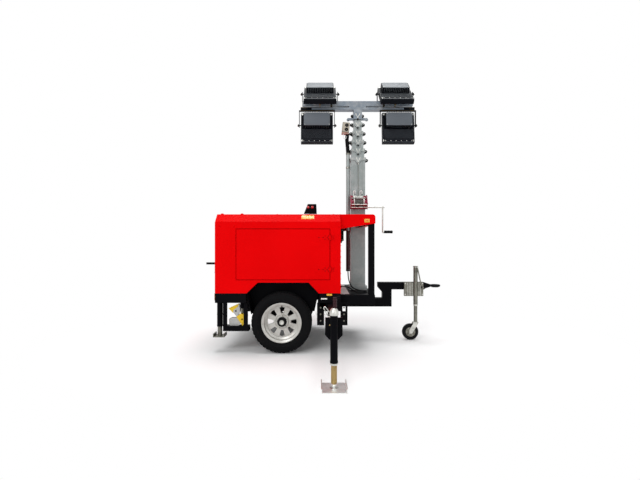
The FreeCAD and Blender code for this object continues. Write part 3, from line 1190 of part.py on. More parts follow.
def jockey_crank():
    """The folded crank on the side of the jockey tube: lug, flat bar and grip."""
    pin_x = "(jockey_x + jockey_crank_bar)"
    pin_z = "(jockey_top - jockey_crank_bar)"
    grip_x = f"({pin_x} + jockey_crank_run)"
    grip_z = f"({pin_z} - jockey_crank_drop)"
    half = "jockey_crank_bar / 2"
    face = "(jockey_y - jockey_tube)"
    bar = prism("jockey_crank_flat", "xz",
                [(f"{pin_x} - {half}", f"{pin_z} + {half}"), (f"{pin_x} + {half}", f"{pin_z} + {half}"),
                 (f"{grip_x} + {half}", f"{grip_z} - {half}"), (f"{grip_x} - {half}", f"{grip_z} - {half}")],
                f"{face} - 10", f"{face} - 2")
    lug = block("jockey_crank_lug", (f"{pin_x} - {half}", f"{pin_x} + {half}"), (f"{face} - 12", "jockey_y"),
                (f"{pin_z} - {half}", f"{pin_z} + {half}"))
    grip = rod("jockey_crank_grip", "y", (grip_x, f"{face} - 2 - jockey_grip", grip_z),
               "jockey_crank_bar * 0.8", "jockey_grip")
    return [bar, lug, grip]


def make_jockey_wheel():
    """The castering fork, with its two cheeks, crown and pin, and the wheel."""
    wheel_x = "jockey_x - jockey_trail"
    pieces = [block("fork_crown", ("jockey_x - 24", "jockey_x + 24"),
                    centred("jockey_y", "jockey_thick + 22"),
                    ("jockey_fork_top - 12", "jockey_fork_top - shaft_gap")),
              rod("fork_pin", "y", (wheel_x, "jockey_y - jockey_thick / 2 - 11", "jockey_radius"),
                  "jockey_pin", "jockey_thick + 22")]
    for hand in (-1, 1):
        edge = f"jockey_y + {hand} * (jockey_thick / 2 + 8)"
        pieces.append(prism(f"fork_cheek_{hand + 1}", "xz",
                            [(f"{wheel_x} - 16", "jockey_radius - 16"),
                             (f"{wheel_x} + 16", "jockey_radius - 16"),
                             ("jockey_x + 24", "jockey_fork_top - 12"),
                             ("jockey_x + 24", "jockey_fork_top - shaft_gap"),
                             ("jockey_x - 24", "jockey_fork_top - shaft_gap"),
                             (f"{wheel_x} - 16", "jockey_radius + 22")], f"{edge} - 3", f"{edge} + 3"))
    keep(join("jockey_fork_all", pieces), "jockey_fork")
    half = "jockey_thick / 2"
    wheel = turned("jockey_wheel_body",
                   [("jockey_pin + shaft_gap", f"-({half} - 2)"), ("24", f"-({half} - 2)"), ("30", "-8"),
                    ("62", "-8"), ("66", f"-({half} - 4)"), ("jockey_radius - 12", f"-({half})"),
                    ("jockey_radius", f"-({half} - 12)"), ("jockey_radius", f"{half} - 12"),
                    ("jockey_radius - 12", half), ("66", f"{half} - 4"), ("62", "8"), ("30", "8"),
                    ("24", f"{half} - 2"), ("jockey_pin + shaft_gap", f"{half} - 2")])
    place(wheel, wheel_x, "jockey_y", "jockey_radius")
    keep(wheel, "jockey_wheel")


def make_cable_tube():
    """The cable tube beside the mast, its clips, and the plug box that leans at its top."""
    y = "-conduit_side"
    tube = rod("conduit", "z", ("conduit_x", y, "conduit_low"), "conduit_radius", "conduit_top - conduit_low")
    pieces = [tube]
    for index, height in enumerate(("conduit_low + 380", "collar_height - 120")):
        pieces.append(block(f"conduit_clip_{index}", ("conduit_x - 4", "mast_x - mast_width / 2"),
                            centred(y, "24"), (height, f"{height} + 30")))
    keep(join("conduit_all", pieces), "cable_tube")
    hose = rod("plug_hose", "z", ("conduit_x", y, "conduit_top"), "hose_radius", "hose_length")
    box = block("plug_body", ("-plug_box_long / 2 - plug_shift", "plug_box_long / 2 - plug_shift"),
                centred("0", "plug_box_wide"), ("0", "plug_box_tall"))
    collar = rod("plug_collar", "z", ("0", "0", "-hose_radius"), "hose_radius + 4", "2 * hose_radius")
    leaning = join("plug_leaning", [box, collar])
    leaning.Placement = FreeCAD.Placement(FreeCAD.Vector(0, 0, 0),
                                          FreeCAD.Rotation(FreeCAD.Vector(0, 1, 0), -10))
    bind(leaning, "Placement.Rotation.Angle", "-plug_lean")
    place(leaning, "conduit_x", y, "conduit_top + hose_length - hose_radius / 2")
    keep(join("plug_all", [hose, leaning]), "plug_box")


def make_socket_box():
    """The junction box on the louvres of the front panel."""
    face = "canopy_front + louvre_deep + shaft_gap"
    low = "canopy_eaves - socket_box_drop"
    keep(block("socket_body", (face, f"{face} + socket_box_deep"),
               centred("-conduit_side", "socket_box_wide"), (low, f"{low} + socket_box_tall")), "socket_box")


def cable_path(points):
    """Straight runs joined by arcs as large as the runs allow."""
    corners = [FreeCAD.Vector(*point) for point in points]
    edges = []
    start = corners[0]
    for before, corner, after in zip(corners, corners[1:], corners[2:]):
        back = before - corner
        ahead = after - corner
        reach = 0.45 * min(back.Length, ahead.Length)
        half_turn = (math.pi - back.getAngle(ahead)) / 2
        radius = reach / math.tan(half_turn)
        print("cable arc radius", round(radius), "mm")
        entry = corner + back * (reach / back.Length)
        leave = corner + ahead * (reach / ahead.Length)
        inward = (entry + leave) * 0.5 - corner
        inward.normalize()
        middle = corner + inward * (radius / math.cos(half_turn) - radius)
        edges.append(Part.makeLine(start, entry))
        edges.append(Part.Arc(entry, middle, leave).toShape())
        start = leave
    edges.append(Part.makeLine(start, corners[-1]))
    return Part.Wire(edges)


def make_mast_cable():
    """The cable from the cable tube's lower end, round on the tray and into its gland."""
    path = cable_path(CABLE_ROUTE)
    radius = dict((alias, value) for alias, value, meaning in SIZES)["cable_radius"]
    start = FreeCAD.Vector(*CABLE_ROUTE[0])
    ring = Part.makeCircle(radius, start, FreeCAD.Vector(*CABLE_ROUTE[1]) - start)
    cable = doc.addObject("Part::Feature", "cable_run")
    cable.Shape = path.makePipeShell([Part.Wire([ring])], True, False)
    wanted = math.pi * radius ** 2 * path.Length
    if abs(cable.Shape.Volume - wanted) > 0.01 * wanted:
        raise RuntimeError("the cable's volume is not its section times its length")
    print("cable length", round(path.Length), "mm")
    keep(cable, "mast_cable")
    gland = rod("gland", "x", ("canopy_front", "-gland_side", "canopy_floor + gland_rise"), "gland_radius",
                "gland_long")
    keep(gland, "cable_gland")


def make_cowl():
    """The exhaust cowl on the roof: a sheet hood on a flange, open towards the front, and its pipe."""
    low, high = ("cowl_right", "cowl_right + cowl_wide")
    end = "cowl_rear + cowl_long"
    top = "canopy_top + cowl_tall"
    hood = prism("cowl_hood", "xz",
                 [("cowl_rear", "canopy_top"), (end, "canopy_top"), (f"{end} - 6", top),
                  ("cowl_rear + cowl_slope", top)], low, high)
    hollow = prism("cowl_hollow", "xz",
                   [("cowl_rear + 2 * cowl_sheet", "canopy_top + cowl_sheet"),
                    (f"{end} + 1", "canopy_top + cowl_sheet"), (f"{end} + 1", f"{top} - cowl_sheet"),
                    ("cowl_rear + cowl_slope + cowl_sheet", f"{top} - cowl_sheet")],
                   f"{low} + cowl_sheet", f"{high} - cowl_sheet")
    flange = block("cowl_base", ("cowl_rear - cowl_flange", f"{end} + cowl_flange"),
                   (f"{low} - cowl_flange", f"{high} + cowl_flange"), ("canopy_top", "canopy_top + cowl_sheet"))
    pipe = rod("exhaust_pipe", "z", (f"{end} - 2 * exhaust_radius", f"({low} + {high}) / 2", "canopy_top"),
               "exhaust_radius", "exhaust_tall")
    keep(join("cowl", [pierce("cowl_shell", hood, hollow), flange, pipe]), "exhaust_cowl")


def check(item):
    """Stop if an object failed or holds no valid solid."""
    bad = [state for state in item.State if state in ("Invalid", "Error")]
    if bad:
        raise RuntimeError(f"{item.Label}: {bad}")


def write_steps():
    """Check every object, then write one file per sub-part."""
    doc.recompute()
    for item in doc.Objects:
        check(item)
    os.makedirs("parts", exist_ok=True)
    for item in nodes:
        if item.Shape.isNull() or not item.Shape.isValid():
            raise RuntimeError(f"{item.Label}: no valid shape")
        item.Shape.exportStep(f"parts/{item.Label}.step")
        print(item.Label, round(item.Shape.Volume / 1000), "cm3,", len(item.Shape.Solids), "solids")


fill_sheet()
make_frame()
make_posts()
make_tail_lamps()
make_mudguards()
make_canopy_sides()
make_doors()
make_canopy_ends()
make_roof()
make_roof_extension()
make_engine()
make_axle()
make_wheels()
make_mast()
make_yokes()
make_lamps()
make_winch()
make_outrigger_housings()
make_outriggers()
make_rear_jacks()
make_chock_carriers()
make_drawbar()
make_jockey()
make_cable_tube()
make_socket_box()
make_mast_cable()
make_cowl()
write_steps()
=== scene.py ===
"""Looks of the mobile light tower: finishes, fittings and the studio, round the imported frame.

Everything is in metres in the frame's own axes: +X to the drawbar, +Y to the left, +Z up.
"""
import bmesh
import bpy
import math
from mathutils import Matrix, Vector


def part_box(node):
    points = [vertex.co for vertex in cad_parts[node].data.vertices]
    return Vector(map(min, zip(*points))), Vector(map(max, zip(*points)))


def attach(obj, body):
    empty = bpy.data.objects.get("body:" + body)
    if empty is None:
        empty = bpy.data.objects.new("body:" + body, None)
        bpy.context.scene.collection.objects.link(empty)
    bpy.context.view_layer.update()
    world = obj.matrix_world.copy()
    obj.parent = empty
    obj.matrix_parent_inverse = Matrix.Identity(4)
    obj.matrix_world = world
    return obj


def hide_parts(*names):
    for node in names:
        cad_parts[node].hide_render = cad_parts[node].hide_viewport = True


bl_info = {
    "name": "Mobile Light Tower Looks",
    "version": (1, 0, 0),
    "blender": (4, 5, 0),
    "location": "View3D > Sidebar > Tower",
    "description": "Finishes, fittings and studio for a mobile light tower",
    "category": "Object",
}

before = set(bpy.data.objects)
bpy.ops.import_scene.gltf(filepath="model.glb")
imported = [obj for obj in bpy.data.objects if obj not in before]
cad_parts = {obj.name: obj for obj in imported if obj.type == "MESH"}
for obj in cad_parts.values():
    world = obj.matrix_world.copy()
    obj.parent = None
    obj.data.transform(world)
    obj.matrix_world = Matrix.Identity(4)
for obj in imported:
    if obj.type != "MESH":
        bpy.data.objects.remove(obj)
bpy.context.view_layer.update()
SIDES = {"left": 1, "right": -1}
# Edges that turn by more than this stay sharp in the shading, or are rounded where a width is given
SHARP = math.radians(32)


class TowerColours(bpy.types.PropertyGroup):
    """Colours of the finishes, linear."""

    red: bpy.props.FloatVectorProperty(
        name="Canopy red", description="Powder coat of the canopy", subtype="COLOR",
        default=(0.78, 0.0001, 0.0010))
    black: bpy.props.FloatVectorProperty(
        name="Frame black", description="Chassis paint", subtype="COLOR",
        default=(0.0024, 0.0025, 0.0036))
    zinc: bpy.props.FloatVectorProperty(
        name="Galvanised steel", description="Mast tubes and lamp bars", subtype="COLOR",
        default=(0.275, 0.305, 0.300))
    brass: bpy.props.FloatVectorProperty(
        name="Yellow zinc", description="Screw legs", subtype="COLOR",
        default=(0.36, 0.25, 0.10))
    maroon: bpy.props.FloatVectorProperty(
        name="Winch red", description="Winch plates", subtype="COLOR",
        default=(0.30, 0.008, 0.045))
    amber: bpy.props.FloatVectorProperty(
        name="Amber", description="Side reflectors", subtype="COLOR",
        default=(0.95, 0.30, 0.01))
    yellow: bpy.props.FloatVectorProperty(
        name="Chock yellow", description="Wheel chocks", subtype="COLOR",
        default=(0.78, 0.52, 0.02))


class TowerSizes(bpy.types.PropertyGroup):
    """Sizes of the fittings."""

    screw: bpy.props.FloatProperty(
        name="Screw head", description="Radius of the canopy screw heads", default=0.0085,
        min=0.003, max=0.02, unit="LENGTH")
    tread_depth: bpy.props.FloatProperty(
        name="Tread depth", description="Depth of the tyre grooves", default=0.007,
        min=0.001, max=0.012, unit="LENGTH")


class StudioSettings(bpy.types.PropertyGroup):
    """Camera and light."""

    distance: bpy.props.FloatProperty(
        name="Camera distance", description="From the centre plane of the tower", default=4.28,
        min=1.0, max=20.0, unit="LENGTH")
    height: bpy.props.FloatProperty(
        name="Camera height", description="Above the ground", default=1.055, min=0.1, max=5.0,
        unit="LENGTH")
    along: bpy.props.FloatProperty(
        name="Camera station", description="Along the trailer", default=-0.1165, min=-5.0, max=5.0,
        unit="LENGTH")
    lens: bpy.props.FloatProperty(
        name="Lens", description="Focal length in millimetres", default=20.925, min=10, max=200)


def put(name, data):
    """Make an object of some data and link it to the scene."""
    made = bpy.data.objects.new(name, data)
    bpy.context.scene.collection.objects.link(made)
    return made


class Field:
    """A value in a material's node tree; arithmetic on it adds Math nodes."""

    def __init__(self, finish, socket):
        self.finish = finish
        self.socket = socket

    def _math(self, operation, *values):
        return self.finish.node("ShaderNodeMath", {"operation": operation}, dict(enumerate(values)))

    def __add__(self, other):
        return self._math("ADD", self, other)

    def __sub__(self, other):
        return self._math("SUBTRACT", self, other)

    def __rsub__(self, other):
        return self._math("SUBTRACT", other, self)

    def __mul__(self, other):
        return self._math("MULTIPLY", self, other)

    __radd__ = __add__
    __rmul__ = __mul__

    def clamped(self):
        """Held between 0 and 1."""
        return self.finish.node("ShaderNodeClamp", {}, {"Value": self})

    def between(self, low, high):
        """0 below low, 1 above high, smooth in between."""
        return self.finish.node("ShaderNodeMapRange", {"interpolation_type": "SMOOTHSTEP"},
                                {"Value": self, "From Min": low, "From Max": high})


class Nodes:
    """A node tree under construction."""

    def __init__(self, tree):
        self.tree = tree
        self.tree.nodes.clear()

    def node(self, kind, options=None, sockets=None, output=0):
        """Add any node: its settings first, then the values or links of its sockets."""
        made = self.tree.nodes.new(kind)
        for key, value in (options or {}).items():
            setattr(made, key, value)
        for key, value in (sockets or {}).items():
            if isinstance(value, Field):
                self.tree.links.new(value.socket, made.inputs[key])
            elif isinstance(value, (tuple, list)) and len(made.inputs[key].default_value) == 4:
                made.inputs[key].default_value = (*value[:3], 1)
            else:
                made.inputs[key].default_value = value
        return Field(self, made.outputs[output])


class Finish(Nodes):
    """A material under construction."""

    def __init__(self, name):
        self.material = bpy.data.materials.new(name)
        self.material.use_nodes = True
        super().__init__(self.material.node_tree)
        self.place = self.node("ShaderNodeTexCoord", output="Object")
        self.axes = [self.node("ShaderNodeSeparateXYZ", {}, {0: self.place}, axis) for axis in "XYZ"]

    def mix(self, factor, first, second):
        """Blend two colours."""
        return self.node("ShaderNodeMix", {"data_type": "RGBA"}, {0: factor, 6: first, 7: second}, 2)

    def stretched(self, x, y, z):
        """Object coordinates, scaled along each axis."""
        return self.node("ShaderNodeVectorMath", {"operation": "MULTIPLY"}, {0: self.place, 1: (x, y, z)})

    def grain(self, scale, detail=3.0, roughness=0.5, where=None):
        """Soft noise, around 0.5."""
        return self.node("ShaderNodeTexNoise", {}, {"Vector": where or self.place, "Scale": scale,
                                                    "Detail": detail, "Roughness": roughness})

    def cells(self, scale, feature="F1", output=0, where=None):
        """Cellular pattern."""
        return self.node("ShaderNodeTexVoronoi", {"feature": feature},
                         {"Vector": where or self.place, "Scale": scale}, output)

    def done(self, base, roughness, metallic, height, depth, strength, **constants):
        """Close the material with one Principled shader."""
        sockets = {"Base Color": base, "Roughness": roughness, "Metallic": metallic}
        sockets.update({key.replace("_", " "): value for key, value in constants.items()})
        sockets["Normal"] = self.node("ShaderNodeBump", {}, {"Height": height, "Distance": depth,
                                                             "Strength": strength})
        shader = self.node("ShaderNodeBsdfPrincipled", {}, sockets)
        self.node_output(shader)
        return self.material

    def node_output(self, shader):
        """Link a shader to the material's surface."""
        target = self.tree.nodes.new("ShaderNodeOutputMaterial")
        self.tree.links.new(shader.socket, target.inputs["Surface"])


def darker(colour, share):
    """A colour scaled by a share."""
    return tuple(channel * share for channel in colour)


def powder_coat(name, colour, roughness, specular, dust=(0.30, 0.26, 0.22), dust_share=0.10):
    """Sprayed powder coat: faint orange peel, uneven gloss, dust that gathers low down."""
    f = Finish(name)
    broad = f.grain(1.7, 4)
    streaks = f.grain(6.0, 4, where=f.stretched(1, 1, 0.12))
    peel = f.grain(240, 2)
    speck = f.grain(90, 5, 0.7).between(0.60, 0.75)
    low = 1 - f.axes[2].between(0.15, 0.95)
    grime = (low * 0.7 + 0.3) * (broad * streaks * 4).between(0.7, 1.6)
    tone = f.mix(broad.between(0.3, 0.7), darker(colour, 0.93), colour)
    base = f.mix(grime * dust_share + speck * 0.004, tone, dust)
    gloss = (broad - 0.5) * 0.16 + streaks * 0.06 + grime * 0.25 + (roughness - 0.03)
    return f.done(base, gloss.clamped(), 0.0, peel + speck * 0.4, 0.00018, 0.35,
                  Specular_IOR_Level=specular)


def galvanised(name, colour, spangle=130.0, metallic=0.62):
    """Hot dip galvanised steel: zinc spangle, dull patches and light streaks."""
    f = Finish(name)
    flake = f.cells(spangle, output="Color")
    flake_tone = f.node("ShaderNodeSeparateColor", {}, {0: flake}, 0)
    patch = f.grain(9, 5, 0.6)
    streak = f.grain(26, 3, where=f.stretched(1, 1, 0.06))
    tone = f.mix(flake_tone * 0.55, darker(colour, 0.86), darker(colour, 1.12))
    dull = f.mix(patch.between(0.45, 0.7) * 0.5, tone, (0.40, 0.41, 0.41))
    base = f.mix(streak.between(0.55, 0.75) * 0.35, dull, darker(colour, 0.72))
    rough = flake_tone * 0.16 + patch * 0.2 + 0.24
    return f.done(base, rough, patch * -0.25 + (metallic + 0.12), flake_tone + patch * 2, 0.00015, 0.3)


def bright_zinc(name, colour, roughness=0.3):
    """Electroplated steel: fine brushing, tarnish in patches."""
    f = Finish(name)
    brush = f.grain(420, 2, where=f.stretched(1, 1, 0.05))
    tarnish = f.grain(24, 5, 0.65)
    base = f.mix(tarnish.between(0.42, 0.72), colour, darker(colour, 0.55))
    rough = tarnish * 0.25 + brush * 0.1 + (roughness - 0.12)
    return f.done(base, rough, 0.88, brush + tarnish, 0.00012, 0.25)


def rubber(name, colour=(0.0042, 0.0042, 0.0048), roughness=0.72):
    """Tyre rubber: matt, with road dust in the grain."""
    f = Finish(name)
    dust = f.grain(14, 6, 0.65).between(0.45, 0.85)
    fine = f.grain(380, 3)
    base = f.mix(dust * 0.08, colour, (0.050, 0.046, 0.042))
    return f.done(base, fine * 0.14 + dust * 0.12 + (roughness - 0.08), 0.0, fine, 0.0003, 0.3,
                  Specular_IOR_Level=0.06)


def moulded(name, colour, roughness, specular=0.35):
    """Moulded plastic with a fine leather grain."""
    f = Finish(name)
    pores = f.cells(700)
    shade = f.grain(18, 4)
    base = f.mix(shade * 0.4, colour, darker(colour, 0.75))
    return f.done(base, shade * 0.14 + pores * 0.1 + (roughness - 0.1), 0.0, pores, 0.0002, 0.35,
                  Specular_IOR_Level=specular)


def anodised(name, colour, roughness, specular):
    """Cast lamp housing: satin paint over a faint casting texture."""
    f = Finish(name)
    cast = f.grain(520, 4, 0.6)
    cloud = f.grain(5, 4)
    base = f.mix(cloud * 0.5, colour, darker(colour, 0.7))
    return f.done(base, cloud * 0.14 + cast * 0.08 + (roughness - 0.08), 0.0, cast, 0.0002, 0.4,
                  Specular_IOR_Level=specular, Coat_Weight=0.02, Coat_Roughness=0.12)


def wheel_silver(name):
    """Silver wheel paint with patches of brake dust and grime."""
    f = Finish(name)
    flake = f.cells(900, output="Color")
    sparkle = f.node("ShaderNodeSeparateColor", {}, {0: flake}, 1)
    dust = f.grain(11, 6, 0.7).between(0.42, 0.78)
    base = f.mix(dust * 0.55, f.mix(sparkle * 0.3, (0.50, 0.49, 0.46), (0.66, 0.65, 0.62)),
                 (0.20, 0.18, 0.155))
    return f.done(base, dust * 0.22 + sparkle * 0.08 + 0.27, 0.42, sparkle * 0.3 + dust, 0.0002, 0.25)


def lamp_glass(name):
    """Front glass of a floodlight: clear and shiny, over the lamp's own grid of emitters."""
    f = Finish(name)
    haze = f.grain(30, 3)
    return f.done(f.mix(haze * 0.3, (0.30, 0.33, 0.36), (0.42, 0.45, 0.47)), haze * 0.06 + 0.05, 0.0,
                  haze, 0.0001, 0.1, Alpha=0.16, IOR=1.45)


def emitter(name):
    """The yellow phosphor of an unlit emitter."""
    f = Finish(name)
    dots = f.cells(300)
    return f.done(f.mix(dots, (0.72, 0.60, 0.12), (0.55, 0.43, 0.07)), dots * 0.1 + 0.4, 0.0, dots,
                  0.0002, 0.3)


def reflector(name, colour):
    """Prismatic reflector plastic."""
    f = Finish(name)
    prism_grid = f.cells(420, "DISTANCE_TO_EDGE")
    facet = prism_grid.between(0.0, 0.18)
    base = f.mix(facet, darker(colour, 0.62), colour)
    return f.done(base, facet * -0.1 + 0.24, 0.0, facet, 0.0004, 0.5, Coat_Weight=0.6, Coat_Roughness=0.05)


def two_zones(name, split, low_colour, high_colour):
    """Plated steel, bright below the split height and yellow above it."""
    f = Finish(name)
    brush = f.grain(300, 3, where=f.stretched(1, 1, 0.08))
    tarnish = f.grain(30, 5, 0.6)
    upper = f.axes[2].between(split - 0.004, split + 0.004)
    clean = f.mix(upper, low_colour, high_colour)
    base = f.mix(tarnish.between(0.45, 0.75) * (upper * 0.6 + 0.15), clean, darker(high_colour, 0.5))
    return f.done(base, tarnish * 0.28 + brush * 0.1 + 0.2, 0.8, brush + tarnish, 0.0002, 0.3)


MADE = {}


def finish(name):
    """A finish by name, made once."""
    if name in MADE:
        return MADE[name]
    colours = bpy.context.scene.tower_colours
    makers = {
        "canopy_red": lambda n: powder_coat(n, tuple(colours.red), 0.40, 0.025, dust_share=0.003),
        "frame_black": lambda n: powder_coat(n, tuple(colours.black), 0.40, 0.035,
                                             (0.03, 0.027, 0.024), 0.06),
        "galvanised": lambda n: galvanised(n, tuple(colours.zinc)),
        "bar_zinc": lambda n: galvanised(n, (0.185, 0.220, 0.262), 150.0, 0.4),
        "bright_zinc": lambda n: bright_zinc(n, (0.62, 0.62, 0.58)),
        "dull_zinc": lambda n: bright_zinc(n, (0.20, 0.195, 0.165), 0.42),
        "yellow_zinc": lambda n: bright_zinc(n, tuple(colours.brass), 0.36),
        "screw_leg": lambda n: two_zones(n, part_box("outrigger_foot_right")[0].z + 0.036,
                                         (0.86, 0.87, 0.86), tuple(colours.brass)),
        "wheel_silver": wheel_silver,
        "tyre_rubber": rubber,
        "soft_black": lambda n: rubber(n, (0.0085, 0.0085, 0.0095), 0.6),
        "lamp_black": lambda n: anodised(n, (0.0030, 0.0040, 0.0066), 0.40, 0.05),
        "driver_grey": lambda n: anodised(n, (0.115, 0.130, 0.150), 0.45, 0.2),
        # A lighter copy of the driver grey for the upper lamps, whose backs face up: painted light
        "driver_light": lambda n: anodised(n, (0.23, 0.25, 0.27), 0.45, 0.2),
        "lamp_glass": lamp_glass,
        "emitter": emitter,
        "winch_maroon": lambda n: powder_coat(n, tuple(colours.maroon), 0.34, 0.4, (0.2, 0.1, 0.1), 0.10),
        "chock_yellow": lambda n: moulded(n, tuple(colours.yellow), 0.42),
        "chock_grey": lambda n: galvanised(n, (0.46, 0.46, 0.45), 160.0, 0.3),
        "plug_grey": lambda n: moulded(n, (0.42, 0.38, 0.31), 0.5),
        "engine_grey": lambda n: anodised(n, (0.075, 0.078, 0.08), 0.55, 0.3),
        "amber_reflector": lambda n: reflector(n, tuple(colours.amber)),
        "yellow_plate": lambda n: reflector(n, (0.92, 0.52, 0.012)),
        "red_reflector": lambda n: reflector(n, (0.6, 0.004, 0.004)),
        "cable_black": lambda n: rubber(n, (0.0075, 0.0075, 0.0085), 0.5),
        # Near black for holes, slots, gaps and dark marks: painted shade
        "dark_gap": lambda n: rubber(n, (0.004, 0.004, 0.004), 0.85),
        "label_white": lambda n: moulded(n, (0.80, 0.80, 0.78), 0.45, 0.4),
        # A darker copy of the canopy red: painted shade for the strip in the door's gap, the hinge screws and
        # the pin ends
        "gap_red": lambda n: powder_coat(n, darker(tuple(colours.red), 0.42), 0.5, 0.05,
                                         dust_share=0.004),
        "plug_band": lambda n: moulded(n, (0.42, 0.13, 0.10), 0.5),
        # Darker than the same rope up the mast: painted shade on the rope between the winch cheeks
        "rope_steel": lambda n: bright_zinc(n, (0.13, 0.12, 0.11), 0.4),
        "grip_maroon": lambda n: moulded(n, (0.035, 0.008, 0.012), 0.5, 0.3),
        "reflector_white": lambda n: moulded(n, (0.66, 0.67, 0.68), 0.3, 0.5),
        "reflector_chrome": lambda n: bright_zinc(n, (0.82, 0.83, 0.84), 0.2),
    }
    MADE[name] = makers[name](name)
    return MADE[name]


class Piece:
    """Simple closed forms gathered into one mesh, in metres in the shared frame."""

    def __init__(self, name):
        self.name = name
        self.mesh = bmesh.new()
        self.finishes = []
        self.where = Matrix.Identity(4)

    def _index(self, name):
        if name not in self.finishes:
            self.finishes.append(name)
        return self.finishes.index(name)

    def take(self, verts, name):
        """Give new faces their finish and move them to where the piece is being made."""
        index = self._index(name)
        for face in {face for vert in verts for face in vert.link_faces}:
            face.material_index = index
        bmesh.ops.transform(self.mesh, matrix=self.where, verts=verts)

    def _soften(self, verts, soft, steps, only_caps=False):
        """Round the edges of a new form."""
        if soft <= 0:
            return
        edges = {edge for vert in verts for edge in vert.link_edges}
        if only_caps:
            edges = {edge for edge in edges if any(len(face.verts) > 4 for face in edge.link_faces)}
        bmesh.ops.bevel(self.mesh, geom=list(edges), offset=soft, segments=steps, affect="EDGES",
                        profile=0.5, clamp_overlap=True)

    def box(self, low, high, name, soft=0.0, steps=2):
        """A box between two corners."""
        low, high = Vector(low), Vector(high)
        size = high - low
        to_place = Matrix.Translation((low + high) / 2) @ Matrix.Diagonal((*size, 1))
        made = bmesh.ops.create_cube(self.mesh, size=1.0, matrix=to_place)
        self.take(made["verts"], name)
        self._soften(made["verts"], min(soft, min(size) * 0.49), steps)

    def rod(self, start, end, radius, name, sides=24, tip=None, soft=0.0, steps=2):
        """A round or many-sided bar, tapered if a tip radius is given."""
        start, end = Vector(start), Vector(end)
        along = end - start
        turn = along.to_track_quat("Z", "Y").to_matrix().to_4x4()
        made = bmesh.ops.create_cone(self.mesh, cap_ends=True, segments=sides, radius1=radius,
                                     radius2=radius if tip is None else tip, depth=along.length,
                                     matrix=Matrix.Translation((start + end) / 2) @ turn)
        self.take(made["verts"], name)
        self._soften(made["verts"], soft, steps, only_caps=True)

    def turned(self, centre, axis, profile, name, sides=48, closed=False):
        """A profile of (radius, offset) points turned about an axis; closed joins its ends."""
        turn = Vector(axis).to_track_quat("Z", "Y").to_matrix().to_4x4()
        to_place = Matrix.Translation(centre) @ turn
        rings = []
        for radius, offset in profile:
            if radius < 1e-6:
                rings.append([self.mesh.verts.new(to_place @ Vector((0, 0, offset)))])
                continue
            angles = [2 * math.pi * i / sides for i in range(sides)]
            points = [(radius * math.cos(angle), radius * math.sin(angle), offset) for angle in angles]
            rings.append([self.mesh.verts.new(to_place @ Vector(point)) for point in points])
        pairs = list(zip(rings, rings[1:]))
        if closed:
            pairs.append((rings[-1], rings[0]))
        for first, second in pairs:
            if len(first) == 1 and len(second) == 1:
                continue
            for i in range(sides):
                j = (i + 1) % sides
                corners = [first[i % len(first)], first[j % len(first)],
                           second[j % len(second)], second[i % len(second)]]
                self.mesh.faces.new(list(dict.fromkeys(corners)))
        self.take([vert for ring in rings for vert in ring], name)

    def ring(self, centre, axis, radius, proud, half, ease, name, sides=40):
        """A raised band round a bar, its two edges sloped over the ease."""
        outer = radius + proud
        band = [(radius, -half), (outer, ease - half), (outer, half - ease), (radius, half)]
        self.turned(centre, axis, band, name, sides)

    def slab(self, axis, outline, low, high, name, soft=0.0, steps=2):
        """A flat outline pushed from low to high along an axis; its points are the other two axes."""
        order = {"x": lambda a, b, c: (c, a, b), "y": lambda a, b, c: (a, c, b),
                 "z": lambda a, b, c: (a, b, c)}[axis]
        near = [self.mesh.verts.new(order(a, b, low)) for a, b in outline]
        far = [self.mesh.verts.new(order(a, b, high)) for a, b in outline]
        self.mesh.faces.new(near)
        self.mesh.faces.new(far)
        for i in range(len(outline)):
            j = (i + 1) % len(outline)
            self.mesh.faces.new((near[i], near[j], far[j], far[i]))
        self.take(near + far, name)
        self._soften(near + far, soft, steps)

    def pipe(self, points, radius, name, sides=12, bend=0.0):
        """A round bar along points whose corners are rounded by a bend radius."""
        path = rounded_path([Vector(point) for point in points], bend)
        normal = None
        rings = []
        for i, point in enumerate(path):
            ahead = path[min(i + 1, len(path) - 1)] - path[max(i - 1, 0)]
            ahead.normalize()
            if normal is None:
                normal = ahead.orthogonal().normalized()
            normal = (normal - ahead * normal.dot(ahead)).normalized()
            other = ahead.cross(normal)
            rings.append([self.mesh.verts.new(point + normal * radius * math.cos(angle)
                                              + other * radius * math.sin(angle))
                          for angle in (2 * math.pi * k / sides for k in range(sides))])
        for first, second in zip(rings, rings[1:]):
            for i in range(sides):
                j = (i + 1) % sides
                self.mesh.faces.new((first[i], first[j], second[j], second[i]))
        self.mesh.faces.new(rings[0])
        self.mesh.faces.new(rings[-1])
        self.take([vert for ring in rings for vert in ring], name)

    def bolt(self, at, axis, radius, name="bright_zinc", washer=True):
        """A hexagon head on a washer, standing on a surface."""
        at, axis = Vector(at), Vector(axis).normalized()
        seat = at
        if washer:
            self.rod(at - axis * radius * 0.1, at + axis * radius * 0.22, radius * 1.45, name, 20)
            seat = at + axis * radius * 0.22
        self.rod(seat, seat + axis * radius * 0.75, radius, name, 6, soft=radius * 0.14, steps=1)

    def screw(self, at, axis, radius, name="bright_zinc"):
        """A domed screw head with its socket."""
        shares = [(0, -0.2), (1, -0.2), (1, 0), (0.94, 0.32), (0.7, 0.56), (0.42, 0.64), (0.38, 0.3),
                  (0, 0.28)]
        self.turned(at, axis, [(radius * share, radius * offset) for share, offset in shares], name, 18)

    def finish(self, body, replaces=(), slot=None):
        """Close the mesh, hang it on its body and say what it stands for."""
        bmesh.ops.recalc_face_normals(self.mesh, faces=self.mesh.faces)
        data = bpy.data.meshes.new(self.name)
        self.mesh.to_mesh(data)
        self.mesh.free()
        for name in self.finishes:
            data.materials.append(finish(name))
        data.shade_smooth()
        data.set_sharp_from_angle(angle=SHARP)
        made = put(self.name, data)
        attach(made, body)
        if replaces:
            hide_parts(*replaces)
        return made


